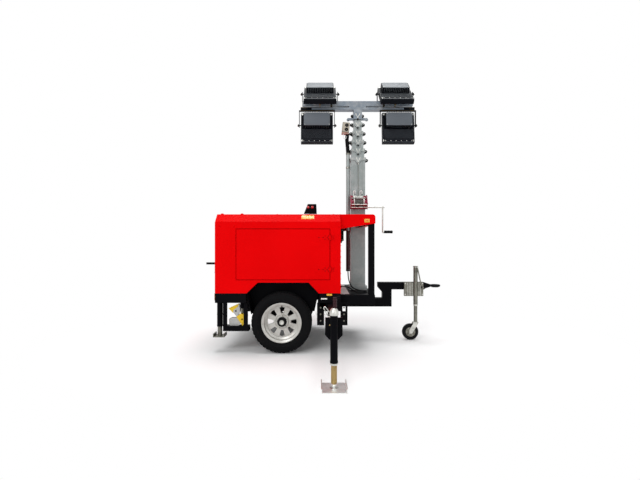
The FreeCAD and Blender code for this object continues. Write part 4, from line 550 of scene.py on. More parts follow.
def rounded_path(points, bend, steps=6):
    """Points with each inner corner replaced by an arc of up to the bend radius."""
    if bend <= 0 or len(points) < 3:
        return points
    path = [points[0]]
    for before, corner, after in zip(points, points[1:], points[2:]):
        back = before - corner
        ahead = after - corner
        turn = math.pi - back.angle(ahead)
        if turn < 0.01:
            path.append(corner)
            continue
        reach = min(bend * math.tan(turn / 2), back.length * 0.49, ahead.length * 0.49)
        start = corner + back.normalized() * reach
        end = corner + ahead.normalized() * reach
        for step in range(steps + 1):
            share = step / steps
            path.append(start.lerp(corner, share).lerp(corner.lerp(end, share), share))
    path.append(points[-1])
    return path


def add_edges(made, width):
    """Round an object's sharp edges with modifiers: weld, merge flat faces, bevel, even normals."""
    weld = made.modifiers.new("weld", "WELD")
    weld.merge_threshold = 0.00002
    flat = made.modifiers.new("flat", "DECIMATE")
    flat.decimate_type = "DISSOLVE"
    flat.angle_limit = math.radians(0.5)
    round_edges = made.modifiers.new("edges", "BEVEL")
    round_edges.width = width
    round_edges.segments = 2
    round_edges.limit_method = "ANGLE"
    round_edges.angle_limit = SHARP
    round_edges.harden_normals = False
    even = made.modifiers.new("normals", "WEIGHTED_NORMAL")
    even.keep_sharp = True


# Finishes of the CAD nodes: the finish, how far edges are rounded (0 keeps them), the nodes
NODE_FINISHES = [
    ("frame_black", 0.004, "drawbar"),
    ("frame_black", 0.003, "chassis_frame front_posts exhaust_cowl"),
    ("frame_black", 0.002, "axle_beam outrigger_housings outrigger_left outrigger_right"),
    ("frame_black", 0.0015, "mudguards chock_carriers"),
    ("frame_black", 0.001, "lamp_yokes"),
    ("frame_black", 0, "rear_jack_tubes towing_eye"),
    ("canopy_red", 0.004, "roof roof_extension"),
    ("canopy_red", 0.0022, "canopy_side_left canopy_side_right door_left door_right"),
    ("canopy_red", 0.0015, "canopy_rear canopy_front"),
    ("engine_grey", 0.01, "engine_block"),
    ("tyre_rubber", 0, "tyre_left tyre_right"),
    ("wheel_silver", 0, "rim_left rim_right"),
    ("galvanised", 0.002, "mast_base"),
    ("galvanised", 0.0015, "mast_section_1 mast_section_2 mast_section_3 mast_section_4 mast_section_5"),
    ("galvanised", 0, "cable_tube"),
    ("bar_zinc", 0.002, "mast_head"),
    ("lamp_black", 0.002, "lamp_upper_rear lamp_upper_front lamp_lower_rear lamp_lower_front"),
    ("winch_maroon", 0.001, "winch"),
    ("bright_zinc", 0.0008, "jockey_fork"),
    ("bright_zinc", 0, "winch_crank"),
    ("screw_leg", 0, "outrigger_foot_left outrigger_foot_right"),
    ("dull_zinc", 0.0012, "jockey_clamp"),
    ("dull_zinc", 0, "rear_foot_left rear_foot_right jockey_tube jockey_leg"),
    ("soft_black", 0.002, "socket_box"),
    ("soft_black", 0, "rear_cranks jockey_wheel cable_gland"),
    ("chock_yellow", 0.003, "wheel_chocks"),
    ("plug_grey", 0.003, "plug_box"),
    ("red_reflector", 0.002, "tail_lamps"),
    ("cable_black", 0, "mast_cable"),
]


class TOWER_OT_paint_frame(bpy.types.Operator):
    """Give every CAD node its finish and soften its edges"""

    bl_idname = "tower.paint_frame"
    bl_label = "Paint the frame"

    def execute(self, context):
        looks = {node: (name, edge) for name, edge, nodes in NODE_FINISHES for node in nodes.split()}
        for node_name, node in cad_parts.items():
            finish_name, edge = looks[node_name]
            for slot in node.material_slots:
                slot.material = finish(finish_name)
            if edge:
                add_edges(node, edge)
        return {"FINISHED"}


# Where things are, in metres
MAST_X = (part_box("mast_base")[0].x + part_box("mast_base")[1].x) / 2
SKIN_Y = 0.620
EXTENSION_Y = -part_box("roof_extension")[0].y
ROOF_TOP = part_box("roof")[1].z
ROOF_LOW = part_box("roof")[0].z
HUB_FACE_Y = 0.5575
HINGE_X = -0.016
HINGES_Z = (0.824, 1.138)
TRAY_TOP = 0.5602
CABLE_TUBE = (0.201, -0.060)
JOCKEY_TUBE = (0.962, -0.079)
# The winch's rope drum, shaft and crank grip; the crank's arm stands at GRIP_X
WINCH_Y = -0.156
DRUM_Z = 1.530
SHAFT_Z = 1.484
GRIP_X = 0.5785
GRIP_Z = 1.211
# The mast's collars: one round the top of each tube
SECTIONS = 6
TUBE_WIDTH = 0.160
TUBE_STEP = 0.018
COLLAR_Z = 2.037
COLLAR_PITCH = 0.102
COLLAR_TALL = 0.034
COLLAR_WALL = 0.008
# Floodlights: name, tilt in degrees, pivot height; their places along X come from the frame
FLOODLIGHTS = [("upper_rear", 47.5, 2.800), ("upper_front", 47.5, 2.800),
               ("lower_rear", 6.0, 2.440), ("lower_front", 6.0, 2.440)]


def on_side(sign, near, far):
    """Low and high Y of what lies between two distances from the middle, on one side."""
    return sorted((sign * near, sign * far))


class TOWER_OT_tyres(bpy.types.Operator):
    """Road tyres with grooved tread, and the fittings of their wheels"""

    bl_idname = "tower.tyres"
    bl_label = "Tyres"

    def execute(self, context):
        for side in SIDES:
            make_tyre(side)
            make_hub(side)
        return {"FINISHED"}


# How much the tread falls away to its sides, and its lugs round the tyre with the steps of each
CROWN_CURVE = 0.42
LUGS = 44
LUG_STEPS = 8
# The steps of a lug that are cut across, by kind of rib
SLOTS = {"shoulder": (0, 1), "rib": (4,)}


def tyre_profile(radius, half, depth):
    """Half section from the middle of the tread to the bead: radius, offset, kind of slot."""
    crown = [(0.000, 0.0, "rib"), (0.013, 0.0, "rib"), (0.0145, 1.0, ""), (0.0205, 1.0, ""),
             (0.022, 0.0, "rib"), (0.040, 0.0, "rib"), (0.0415, 1.0, ""), (0.0475, 1.0, ""),
             (0.049, 0.0, "shoulder"), (half - 0.030, 0.0, "shoulder")]
    points = [(radius - CROWN_CURVE * offset ** 2 - depth * groove, offset, kind)
              for offset, groove, kind in crown]
    points += [(radius - 0.005, half - 0.0215, "shoulder"), (radius - 0.012, half - 0.0105, "shoulder"),
               (radius - 0.021, half - 0.005, ""), (radius - 0.024, half - 0.0062, ""),
               (radius - 0.034, half - 0.001, ""), (radius - 0.052, half, ""), (0.236, half - 0.0004, ""),
               (0.2335, half - 0.0022, ""), (0.222, half - 0.0045, ""), (0.209, half - 0.011, ""),
               (0.2055, half - 0.0165, ""), (0.2015, half - 0.0175, ""), (0.1995, half - 0.024, ""),
               (0.186, half - 0.026, ""), (0.1806, half - 0.030, "")]
    return points


def make_tyre(side):
    """One tyre: ribs round the crown, slots across the ribs, ridges on the sidewall."""
    low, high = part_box(f"tyre_{side}")
    centre = (low + high) / 2
    depth = bpy.context.scene.tower_sizes.tread_depth
    half = tyre_profile((high.z - low.z) / 2, (high.y - low.y) / 2, depth)
    profile = [(radius, -offset, kind) for radius, offset, kind in reversed(half)] + half[1:]
    count = LUGS * LUG_STEPS
    piece = Piece(f"tread_{side}")
    rings = []
    for i in range(count):
        angle = 2 * math.pi * i / count
        ring = []
        for radius, offset, kind in profile:
            phase = (i + (2 if offset > 0 else 0)) % LUG_STEPS
            if kind and phase in SLOTS[kind]:
                radius -= depth * 0.75
            ring.append(piece.mesh.verts.new((centre.x + radius * math.cos(angle), centre.y + offset,
                                              centre.z + radius * math.sin(angle))))
        rings.append(ring)
    for first, second in zip(rings, rings[1:] + rings[:1]):
        for k in range(len(profile)):
            n = (k + 1) % len(profile)
            piece.mesh.faces.new((first[k], first[n], second[n], second[k]))
    piece.take([vert for ring in rings for vert in ring], "tyre_rubber")
    piece.finish(f"wheel_{side}", replaces=[f"tyre_{side}"])


def make_hub(side):
    """Hub ring and cap, wheel nuts, valve and the beading of the rim."""
    low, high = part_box(f"rim_{side}")
    axis = Vector((0, SIDES[side], 0))
    mid = Vector(((low.x + high.x) / 2, SIDES[side] * HUB_FACE_Y, (low.z + high.z) / 2))
    piece = Piece(f"hub_fittings_{side}")
    collar = [(0.0466, 0.0118), (0.0466, 0.0345), (0.0432, 0.0395), (0.0312, 0.0532), (0.0240, 0.0535),
              (0.0240, 0.0470)]
    piece.turned(mid, axis, collar, "soft_black", 64)
    cap = [(0.0238, 0.0500), (0.0238, 0.0560), (0.0215, 0.0592), (0.0120, 0.0602), (0.0090, 0.0590),
           (0.0, 0.0590)]
    piece.turned(mid, axis, cap, "bright_zinc", 48)
    nuts = 5
    for k in range(nuts):
        angle = 2 * math.pi * (k + 0.25) / nuts
        seat = mid + Vector((0.0545 * math.cos(angle), 0, 0.0545 * math.sin(angle))) + axis * 0.0115
        piece.rod(seat, seat + axis * 0.006, 0.0095, "bright_zinc", 20, tip=0.0078)
        piece.rod(seat + axis * 0.006, seat + axis * 0.019, 0.0074, "bright_zinc", 6, soft=0.0012)
    valve = mid + axis * 0.028 + Vector((0, 0, 0.161))
    piece.rod(valve, valve + axis * 0.022 + Vector((0, 0, -0.012)), 0.0048, "soft_black", 14)
    piece.rod(valve + axis * 0.020 + Vector((0, 0, -0.011)), valve + axis * 0.034 + Vector((0, 0, -0.0186)),
              0.0036, "soft_black", 12)
    piece.finish(f"wheel_{side}")
    rim = Piece(f"rim_beading_{side}")
    for radius, offset in ((0.1925, 0.0775), (0.1600, 0.0100), (0.1745, 0.0600)):
        bead = [(radius - 0.0024, offset - 0.0006), (radius - 0.0012, offset + 0.0011),
                (radius + 0.0012, offset + 0.0011), (radius + 0.0024, offset - 0.0006)]
        rim.turned(mid, axis, bead, "wheel_silver", 96)
    rim.finish(f"wheel_{side}")


class TOWER_OT_canopy(bpy.types.Operator):
    """Screws, hinge screws, plates, reflectors and lamps of the canopy"""

    bl_idname = "tower.canopy"
    bl_label = "Canopy fittings"

    def execute(self, context):
        for side in SIDES:
            make_canopy_screws(side)
            make_door_fittings(side)
            make_reflectors(side)
        make_bevel_plate()
        make_roof_fittings()
        make_exhaust_fittings()
        make_end_screws()
        make_tail_lamps()
        return {"FINISHED"}


def make_canopy_screws(side):
    """Domed screws along the top and down the ends of each canopy side."""
    sign = SIDES[side]
    radius = bpy.context.scene.tower_sizes.screw
    rear_x, front_x = -1.128, 0.068
    piece = Piece(f"canopy_screws_{side}")
    for x in (-1.1035, -0.9677, 0.0154, front_x):
        piece.screw((x, sign * SKIN_Y, 1.2465), (0, sign, 0), radius, "canopy_red")
    for z in (0.66, 0.93, 1.16):
        for x in (rear_x, front_x):
            piece.screw((x, sign * SKIN_Y, z), (0, sign, 0), radius * 0.7, "canopy_red")
    piece.finish("chassis", slot="red_paint")


def make_door_fittings(side):
    """Screws of the two hinges, the ends of their pins, and the strip seen in the gap round the door; these
    take a darker copy of the canopy red as painted shade, and some strap screws black painted shade.
    """
    sign = SIDES[side]
    low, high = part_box(f"door_{side}")
    out = sign * (SKIN_Y + 0.004)
    pin_y = sign * (SKIN_Y + 0.009)
    straps = Piece(f"hinge_screws_{side}")
    leaves = Piece(f"leaf_screws_{side}")
    for z in HINGES_Z:
        for x in (-0.112, -0.070, -0.030):
            straps.screw((HINGE_X + x, out, z), (0, sign, 0), 0.0062, "gap_red")
        for x in (-0.050, -0.018):
            for drop in (-0.014, 0.014):
                # Black strap screws: painted shade
                straps.screw((HINGE_X + x, out, z + drop), (0, sign, 0), 0.0042, "dark_gap")
        for x in (0.018, 0.034):
            for drop in (-0.014, 0.0, 0.014):
                leaves.screw((HINGE_X + x, out, z + drop), (0, sign, 0), 0.0042, "gap_red")
        for pin_end in (-0.026, 0.022):
            leaves.rod((HINGE_X, pin_y, z + pin_end), (HINGE_X, pin_y, z + pin_end + 0.004), 0.0066,
                       "gap_red", 18)
    straps.finish(f"door_{side}")
    leaves.finish("chassis")
    # The strip in the gap is painted shade: a darker red box set back behind the skin
    seal = Piece(f"door_seal_{side}")
    near, far = on_side(sign, SKIN_Y - 0.034, SKIN_Y - 0.030)
    edges = ((low.x - 0.016, low.x + 0.010, low.z, high.z),
             (HINGE_X - 0.026, HINGE_X + 0.006, low.z, high.z),
             (low.x, HINGE_X, low.z - 0.014, low.z + 0.010),
             (low.x, HINGE_X, high.z - 0.010, high.z + 0.014))
    for x_low, x_high, z_low, z_high in edges:
        seal.box((x_low, near, z_low), (x_high, far, z_high), "gap_red")
    seal.finish("chassis")


def make_reflectors(side):
    """Amber reflector on the roof extension, a small one on the sill and a blank label under it."""
    sign = SIDES[side]
    piece = Piece(f"reflectors_{side}")
    near, far = on_side(sign, EXTENSION_Y, EXTENSION_Y + 0.004)
    piece.box((0.330, near, 1.293), (0.382, far, 1.327), "yellow_plate", 0.0012)
    near, far = on_side(sign, EXTENSION_Y, EXTENSION_Y + 0.0065)
    piece.box((0.336, near, 1.299), (0.376, far, 1.321), "amber_reflector", 0.0016)
    piece.screw((0.356, sign * (EXTENSION_Y + 0.0065), 1.310), (0, sign, 0), 0.0048, "canopy_red")
    near, far = on_side(sign, SKIN_Y, SKIN_Y + 0.006)
    piece.box((-0.051, near, 0.5655), (0.002, far, 0.5845), "yellow_plate", 0.0018)
    piece.box((-0.034, near, 0.5645), (-0.030, sign * (SKIN_Y + 0.0068), 0.5855), "amber_reflector")
    piece.box((-0.106, near, 0.529), (-0.046, sign * (SKIN_Y + 0.0014), 0.543), "label_white", 0.0004)
    piece.finish("chassis")


def make_bevel_plate():
    """The blank plate on the bevel of the roof: two yellow fields on amber, with four rivets."""
    slope = Vector((0, SKIN_Y - EXTENSION_Y, ROOF_TOP - ROOF_LOW))
    along = slope.normalized()
    out = Vector((1, 0, 0)).cross(along)
    middle = Vector((-0.238, -SKIN_Y, ROOF_LOW)) + slope * 0.60
    plate = Piece("bevel_plate")
    plate.where = Matrix(((1, 0, 0, middle.x), (0, along.y, out.y, middle.y),
                          (0, along.z, out.z, middle.z), (0, 0, 0, 1)))
    plate.box((-0.064, -0.029, -0.0005), (0.064, 0.029, 0.0018), "amber_reflector", 0.0006)
    for x_low, x_high in ((-0.056, 0.002), (0.008, 0.058)):
        plate.box((x_low, -0.023, 0.0010), (x_high, 0.023, 0.0026), "yellow_plate", 0.0004)
    for x in (-0.061, 0.061):
        for y in (-0.026, 0.026):
            plate.rod((x, y, 0.0016), (x, y, 0.0030), 0.0016, "dull_zinc", 12)
    plate.finish("chassis")


def make_roof_fittings():
    """Dome nuts on the roof, and the lip of each fold at the extension."""
    piece = Piece("roof_fittings")
    for x, y, radius in ((-1.105, 0.515, 0.016), (-0.905, 0.515, 0.016), (-0.55, 0.500, 0.0085),
                         (0.02, 0.500, 0.0085)):
        for sign in SIDES.values():
            piece.screw((x, sign * y, ROOF_TOP), (0, 0, 1), radius, "canopy_red")
    for sign in SIDES.values():
        near, far = on_side(sign, 0.505, 0.5325)
        piece.box((0.086, near, ROOF_TOP), (0.094, far, ROOF_TOP + 0.0022), "canopy_red", 0.0008)
    piece.finish("chassis", slot="red_paint")


def make_exhaust_fittings():
    """The cowl's bright strip with two red lamps, its round outlet and its bolts."""
    low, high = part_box("exhaust_cowl")
    strip_y = low.y + 0.0065
    hood = Piece("exhaust_fittings")
    hood.box((low.x + 0.012, strip_y, low.z + 0.003), (high.x - 0.012, strip_y + 0.004, low.z + 0.023),
             "bright_zinc", 0.001)
    lens = [(0.0145, 0), (0.0145, 0.003), (0.0120, 0.0075), (0.0060, 0.0095), (0, 0.0100)]
    for x in (-0.243, -0.198):
        hood.turned((x, low.y + 0.0100, 1.470), (0, -1, 0), lens, "red_reflector", 28)
    outlet = [(0.0302, -0.020), (0.0316, 0.0), (0.0310, 0.0012), (0.0262, 0.0012), (0.0258, -0.05),
              (0, -0.05)]
    middle = (high.x - 0.072, (low.y + high.y) / 2, ROOF_TOP + 0.0838)
    hood.turned(middle, (0, 0, 1), outlet, "dull_zinc", 40)
    for x in (low.x + 0.006, high.x - 0.006):
        for y in (low.y + 0.005, high.y - 0.005):
            hood.bolt((x, y, low.z + 0.004), (0, 0, 1), 0.0036, washer=False)
    hood.finish("chassis")


def make_end_screws():
    """Screws down both edges of the end panels."""
    piece = Piece("end_fittings")
    for x, out in ((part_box("roof")[0].x, -1), (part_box("roof")[1].x, 1)):
        for y in (-0.565, 0.565):
            for z in (0.640, 0.940, 1.240):
                piece.screw((x, y, z), (out, 0, 0), 0.0075, "canopy_red")
    piece.finish("chassis", slot="red_paint")


def make_tail_lamps():
    """Base, divider and amber half of each tail lamp, and the blank number plate between them."""
    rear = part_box("roof")[0].x
    lamps = Piece("tail_lamp_fittings")
    for sign in SIDES.values():
        mid = sign * 0.470
        split = mid + sign * 0.012
        near, far = sorted((mid + sign * 0.0155, mid + sign * 0.0555))
        lamps.box((rear - 0.0125, mid - 0.060, 0.500), (rear - 0.0005, mid + 0.060, 0.582),
                  "soft_black", 0.003)
        lamps.box((rear - 0.0305, split - 0.004, 0.5045), (rear - 0.0135, split + 0.004, 0.5775),
                  "soft_black", 0.001)
        lamps.box((rear - 0.0312, near, 0.5048), (rear - 0.0138, far, 0.5772), "amber_reflector", 0.003)
    lamps.box((rear - 0.0075, -0.260, 0.498), (rear - 0.0003, 0.260, 0.584), "soft_black", 0.003)
    lamps.box((rear - 0.0090, -0.240, 0.505), (rear - 0.0070, 0.240, 0.577), "label_white", 0.0006)
    lamps.finish("chassis")


class TOWER_OT_mast(bpy.types.Operator):
    """Collar bolts, pulleys, chevrons, the bolts of the lamp bars, and the winch with its rope"""

    bl_idname = "tower.mast"
    bl_label = "Mast fittings"

    def execute(self, context):
        for index in range(SECTIONS):
            make_collar(index)
        make_head_fittings()
        make_winch_fittings()
        make_mast_rope()
        make_crank_fittings()
        return {"FINISHED"}


def make_collar(index):
    """Bolts, grooved pulleys and the bright chevron on one collar, with a black diamond and stud of painted
    shade below it.
    """
    half = (TUBE_WIDTH - TUBE_STEP * index) / 2
    centre = COLLAR_Z + COLLAR_PITCH * index
    top, low = centre + COLLAR_TALL / 2, centre - COLLAR_TALL / 2
    face = -(half + COLLAR_WALL + 0.005)
    groove = [(0.0062, -0.0058), (0.0174, -0.0058), (0.0180, -0.0048), (0.0156, -0.0010), (0.0156, 0.0010),
              (0.0180, 0.0048), (0.0174, 0.0058), (0.0062, 0.0058)]
    cover = [(0, -0.0002), (0.0162, -0.0002), (0.0158, 0.0016), (0.0110, 0.0024), (0, 0.0024)]
    piece = Piece(f"collar_fittings_{index}")
    for hand in (-1, 1):
        x = MAST_X + hand * (half + 0.024)
        ear = [(x - hand * 0.0150, centre - 0.0030), (x + hand * 0.0030, centre - 0.0150),
               (x - hand * 0.0150, centre - 0.0245)]
        piece.turned((x, 0, centre), (0, 1, 0), groove, "soft_black", 40, closed=True)
        for turn in (-1, 1):
            piece.turned((x, turn * 0.0100, centre), (0, turn, 0), cover, "soft_black", 32)
            piece.bolt((x, turn * 0.0120, centre), (0, turn, 0), 0.0050, washer=False)
            piece.slab("y", ear, turn * 0.0101, turn * 0.0112, "soft_black")
        wall = MAST_X + hand * (half + COLLAR_WALL)
        for drop in (-0.009, 0.009):
            for y in (-half * 0.55, half * 0.55):
                piece.bolt((wall, y, centre + drop), (hand, 0, 0), 0.0040)
        piece.bolt((MAST_X + hand * (half - 0.012), -(half + COLLAR_WALL), centre), (0, -1, 0), 0.0052)
        chevron = [(MAST_X + hand * 0.0275, top - 0.001), (MAST_X + hand * 0.0195, top - 0.001),
                   (MAST_X + hand * 0.0005, low - 0.0100), (MAST_X + hand * 0.0005, low - 0.0205)]
        piece.slab("y", chevron, face - 0.0022, face - 0.0001, "bright_zinc", 0.0005, 1)
    middle = low - 0.0300
    diamond = [(MAST_X - 0.0120, middle), (MAST_X, middle + 0.0150), (MAST_X + 0.0120, middle),
               (MAST_X, middle - 0.0150)]
    piece.slab("y", diamond, face - 0.0012, face - 0.0001, "dark_gap")
    stud = [(0.0058, 0), (0.0058, 0.0016), (0.0030, 0.0024), (0, 0.0024)]
    piece.turned((MAST_X, face - 0.0012, middle), (0, -1, 0), stud, "dark_gap", 20)
    piece.finish(f"mast_{index}" if index else "chassis")


def make_head_fittings():
    """Brass bolts of the lamp bars, end caps of their tubes, slots as black boxes of painted shade, angle
    plates and end bands.
    """
    piece = Piece("head_fittings")
    for hand in (-1, 1):
        for reach, high, low in ((0.465, 2.634, 2.610), (0.430, 2.711, 2.655)):
            x = MAST_X + hand * reach
            piece.bolt((x, 0, high), (0, 0, 1), 0.0085, "yellow_zinc")
            piece.bolt((x, 0, low), (0, 0, -1), 0.0085, "yellow_zinc")
        for reach, low, high in ((0.525, 2.610, 2.634), (0.630, 2.655, 2.711)):
            near, far = on_side(hand, reach - 0.004, reach + 0.0022)
            piece.box((MAST_X + near, -0.0270, low + 0.0025), (MAST_X + far, 0.0270, high - 0.0025),
                      "soft_black", 0.001)
        x = MAST_X + hand * 0.430
        for face in (-1, 1):
            near, far = on_side(face, 0.0296, 0.0306)
            for z in (2.668, 2.698):
                piece.bolt((x, face * 0.030, z), (0, face, 0), 0.0072, "yellow_zinc")
            for slot in (x - 0.055, x + 0.055):
                piece.box((slot - 0.016, near, 2.6865), (slot + 0.016, far, 2.6955), "dark_gap")
        x = MAST_X + hand * 0.465
        piece.box((x - 0.186, -0.0345, 2.6000), (x + 0.186, -0.0298, 2.6400), "lamp_black", 0.0012)
        piece.box((x - 0.186, -0.0345, 2.6000), (x + 0.186, -0.0190, 2.6040), "lamp_black", 0.0012)
        for bolt in (-0.13, 0.13):
            piece.bolt((x + bolt, -0.0345, 2.6220), (0, -1, 0), 0.0056, "frame_black")
        x = MAST_X + hand * 0.300
        piece.box((x - 0.0105, -0.0312, 2.6538), (x + 0.0105, 0.0312, 2.7122), "soft_black", 0.001)
    piece.finish("mast_5")


def wound_rope(half, turns):
    """Section of a drum wound with one layer of rope: a rounded ridge for each turn."""
    core, valley, crest, top = 0.0345, 0.0395, 0.0426, 0.0434
    pitch = 2 * half / turns
    profile = [(core, -half)]
    for turn in range(turns):
        start = -half + pitch * turn
        profile += [(valley, start + pitch * 0.12), (crest, start + pitch * 0.30), (top, start + pitch * 0.5),
                    (crest, start + pitch * 0.70), (valley, start + pitch * 0.88)]
    profile.append((core, half))
    return profile


def make_winch_fittings():
    """Rope on the drum, darker than the mast's rope as painted shade, its flanges, the cheeks' bolts and tie
    bars, the two hooks and the ratchet.
    """
    piece = Piece("winch_fittings")
    drum = Vector((MAST_X, WINCH_Y, DRUM_Z))
    piece.turned(drum, (1, 0, 0), wound_rope(0.0470, 12), "rope_steel", 56)
    flange = [(0.0460, -0.0070), (0.0526, -0.0070), (0.0530, 0.0), (0.0520, 0.0012), (0.0468, 0.0012)]
    for hand in (-1, 1):
        at = drum + Vector((hand * 0.0557, 0, 0))
        piece.turned(at, (hand, 0, 0), flange, "bright_zinc", 64)
        for k in range(6):
            angle = math.pi * k / 3
            piece.bolt(at + Vector((hand * 0.0003, 0.036 * math.cos(angle), 0.036 * math.sin(angle))),
                       (hand, 0, 0), 0.0034, washer=False)
        for y, z in ((-0.105, 1.600), (-0.105, 1.488), (-0.150, 1.600), (-0.200, 1.522)):
            piece.bolt((MAST_X + hand * 0.0912, y, z), (hand, 0, 0), 0.0062)
    for y, z in ((-0.2110, 1.5085), (-0.1950, 1.4790), (-0.105, 1.5920)):
        piece.rod((MAST_X - 0.0835, y, z), (MAST_X + 0.0835, y, z), 0.0058, "bright_zinc", 20)
    hook_y = -0.0920
    for low, high in ((0.262, 0.279), (0.334, 0.356)):
        piece.pipe([(low, hook_y, 1.618), (low, hook_y, 1.676), (high, hook_y, 1.676), (high, hook_y, 1.640)],
                   0.0058, "label_white", 12, 0.009)
    piece.box((0.255, -0.0905, 1.6005), (0.372, -0.0865, 1.6205), "bright_zinc", 0.001)
    wheel = Vector((MAST_X + 0.0915, WINCH_Y, SHAFT_Z))
    ratchet = [(0.0110, 0), (0.0245, 0), (0.0245, 0.0045), (0.0205, 0.0060), (0.0110, 0.0060)]
    piece.turned(wheel, (1, 0, 0), ratchet, "bright_zinc", 40, closed=True)
    teeth = 14
    for k in range(teeth):
        angle = 2 * math.pi * k / teeth
        out = Vector((0, math.cos(angle), math.sin(angle)))
        root = wheel + Vector((0.0024, 0, 0))
        piece.rod(root + out * 0.0235, root + out * 0.0285, 0.0026, "bright_zinc", 8, tip=0.0014)
    piece.finish("chassis")


def make_mast_rope():
    """The rope from the drum up the mast's face to its ferrule, between two guide strips."""
    rope_y = -0.0965
    rope = Piece("mast_rope")
    rope.pipe([(MAST_X - 0.012, -0.1130, 1.5350), (MAST_X - 0.004, -0.1010, 1.600), (MAST_X, rope_y, 1.700),
               (MAST_X, rope_y, 2.0000)], 0.0027, "dull_zinc", 10, 0.04)
    ferrule = [(0, -0.004), (0.0046, 0), (0.0046, 0.022), (0, 0.026)]
    rope.turned((MAST_X, rope_y, 1.9720), (0, 0, 1), ferrule, "bright_zinc", 18)
    for x in (MAST_X - 0.047, MAST_X + 0.047):
        rope.box((x - 0.0022, -0.0810, 1.630), (x + 0.0022, -0.0794, 2.014), "galvanised", 0.0006, 1)
    rope.finish("chassis")


def make_crank_fittings():
    """The winch crank's ribbed grip and the nut on its shaft."""
    crank = Piece("crank_fittings")
    grip = [(0.0, 0.010), (0.0120, 0.010), (0.0150, 0.014), (0.0152, 0.094), (0.0168, 0.098),
            (0.0168, 0.104), (0.0140, 0.1085), (0, 0.1085)]
    crank.turned((GRIP_X, WINCH_Y, GRIP_Z), (1, 0, 0), grip, "soft_black", 32)
    for rib in range(7):
        at = (GRIP_X + 0.026 + rib * 0.010, WINCH_Y, GRIP_Z)
        crank.ring(at, (1, 0, 0), 0.0148, 0.0010, 0.0022, 0.0010, "soft_black", 32)
    crank.bolt((GRIP_X + 0.0110, WINCH_Y, SHAFT_Z), (1, 0, 0), 0.0080)
    crank.finish("crank")


class TOWER_OT_lamps(bpy.types.Operator):
    """Glass, emitters, driver box and bracket bolts of each floodlight"""

    bl_idname = "tower.lamps"
    bl_label = "Floodlights"

    def execute(self, context):
        for name, tilt, height in FLOODLIGHTS:
            low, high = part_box(f"lamp_{name}")
            place = (Matrix.Translation(((low.x + high.x) / 2, 0, height))
                     @ Matrix.Rotation(math.radians(-tilt), 4, "X"))
            make_lamp_back(name, place)
            make_lamp_front(name, place)
        return {"FINISHED"}


# A floodlight in its own upright axes, from its pivot: half its width, and its front opening
LAMP_HALF = 0.1795
GLASS_HALF = 0.1660
GLASS_LOW = -0.1980
GLASS_HIGH = 0.1280


def make_lamp_back(name, place):
    """The back of one floodlight: driver box, fins, ribs, screws, corner clips and the lead's gland."""
    # The upper lamps' driver boxes take the lighter copy of the driver grey: painted light on backs that face
    # up
    skin = "driver_light" if name.startswith("upper") else "driver_grey"
    back = Piece(f"floodlight_back_{name}")
    back.where = place
    box_y, rim_y, clip_y, strip_y = -0.0912, -0.0312, -0.0328, -0.0330
    back.box((-0.1475, box_y, -0.0345), (0.1475, -0.0862, 0.1165), skin, 0.003)
    for x in (-0.1365, 0.1365):
        for z in (-0.0235, 0.1055):
            back.screw((x, box_y, z), (0, -1, 0), 0.0050, "bright_zinc")
    for k in range(14):
        x = -0.130 + 0.020 * k
        for low, high in ((0.1205, 0.1245), (-0.0435, -0.0385)):
            back.box((x - 0.0022, -0.0850, low), (x + 0.0022, -0.0345, high), "lamp_black", 0.0008, 1)
    low, high, rim = -0.2105, 0.1405, 0.0050
    for x_low, x_high, z_low, z_high in ((-LAMP_HALF, LAMP_HALF, high - rim, high),
                                         (-LAMP_HALF, LAMP_HALF, low, low + rim),
                                         (-LAMP_HALF, rim - LAMP_HALF, low, high),
                                         (LAMP_HALF - rim, LAMP_HALF, low, high)):
        back.box((x_low, rim_y, z_low), (x_high, -0.0270, z_high), "lamp_black", 0.0012)
    for k in range(9):
        z = -0.0600 - 0.0125 * k
        back.box((-0.1640, -0.0318, z - 0.0022), (0.1640, -0.0270, z + 0.0022), "lamp_black", 0.0010)
    back.box((-0.1700, strip_y, -0.2050), (0.1700, -0.0275, -0.1800), "lamp_black", 0.0015)
    for k in range(6):
        back.screw((-0.150 + 0.060 * k, strip_y, -0.1925), (0, -1, 0), 0.0046, "bright_zinc")
    for hand in (-1, 1):
        near, far = on_side(hand, 0.1520, 0.1760)
        for low, high in ((0.1095, 0.1335), (-0.2035, -0.1795)):
            back.box((near, clip_y, low), (far, -0.0284, high), "bright_zinc", 0.0012)
            back.screw(((near + far) / 2, clip_y, (low + high) / 2), (0, -1, 0), 0.0044, "dull_zinc")
        back.bolt((hand * 0.2180, 0, 0), (hand, 0, 0), 0.0085, "bright_zinc")
    gland = [(0, -0.004), (0.0125, -0.004), (0.0125, 0.0100), (0.0105, 0.0120), (0.0105, 0.0190),
             (0.0060, 0.0230), (0, 0.0230)]
    back.turned((0.110, -0.0600, -0.0400), (0, 0, -1), gland, "soft_black", 8)
    back.finish(f"floodlight_{name}")


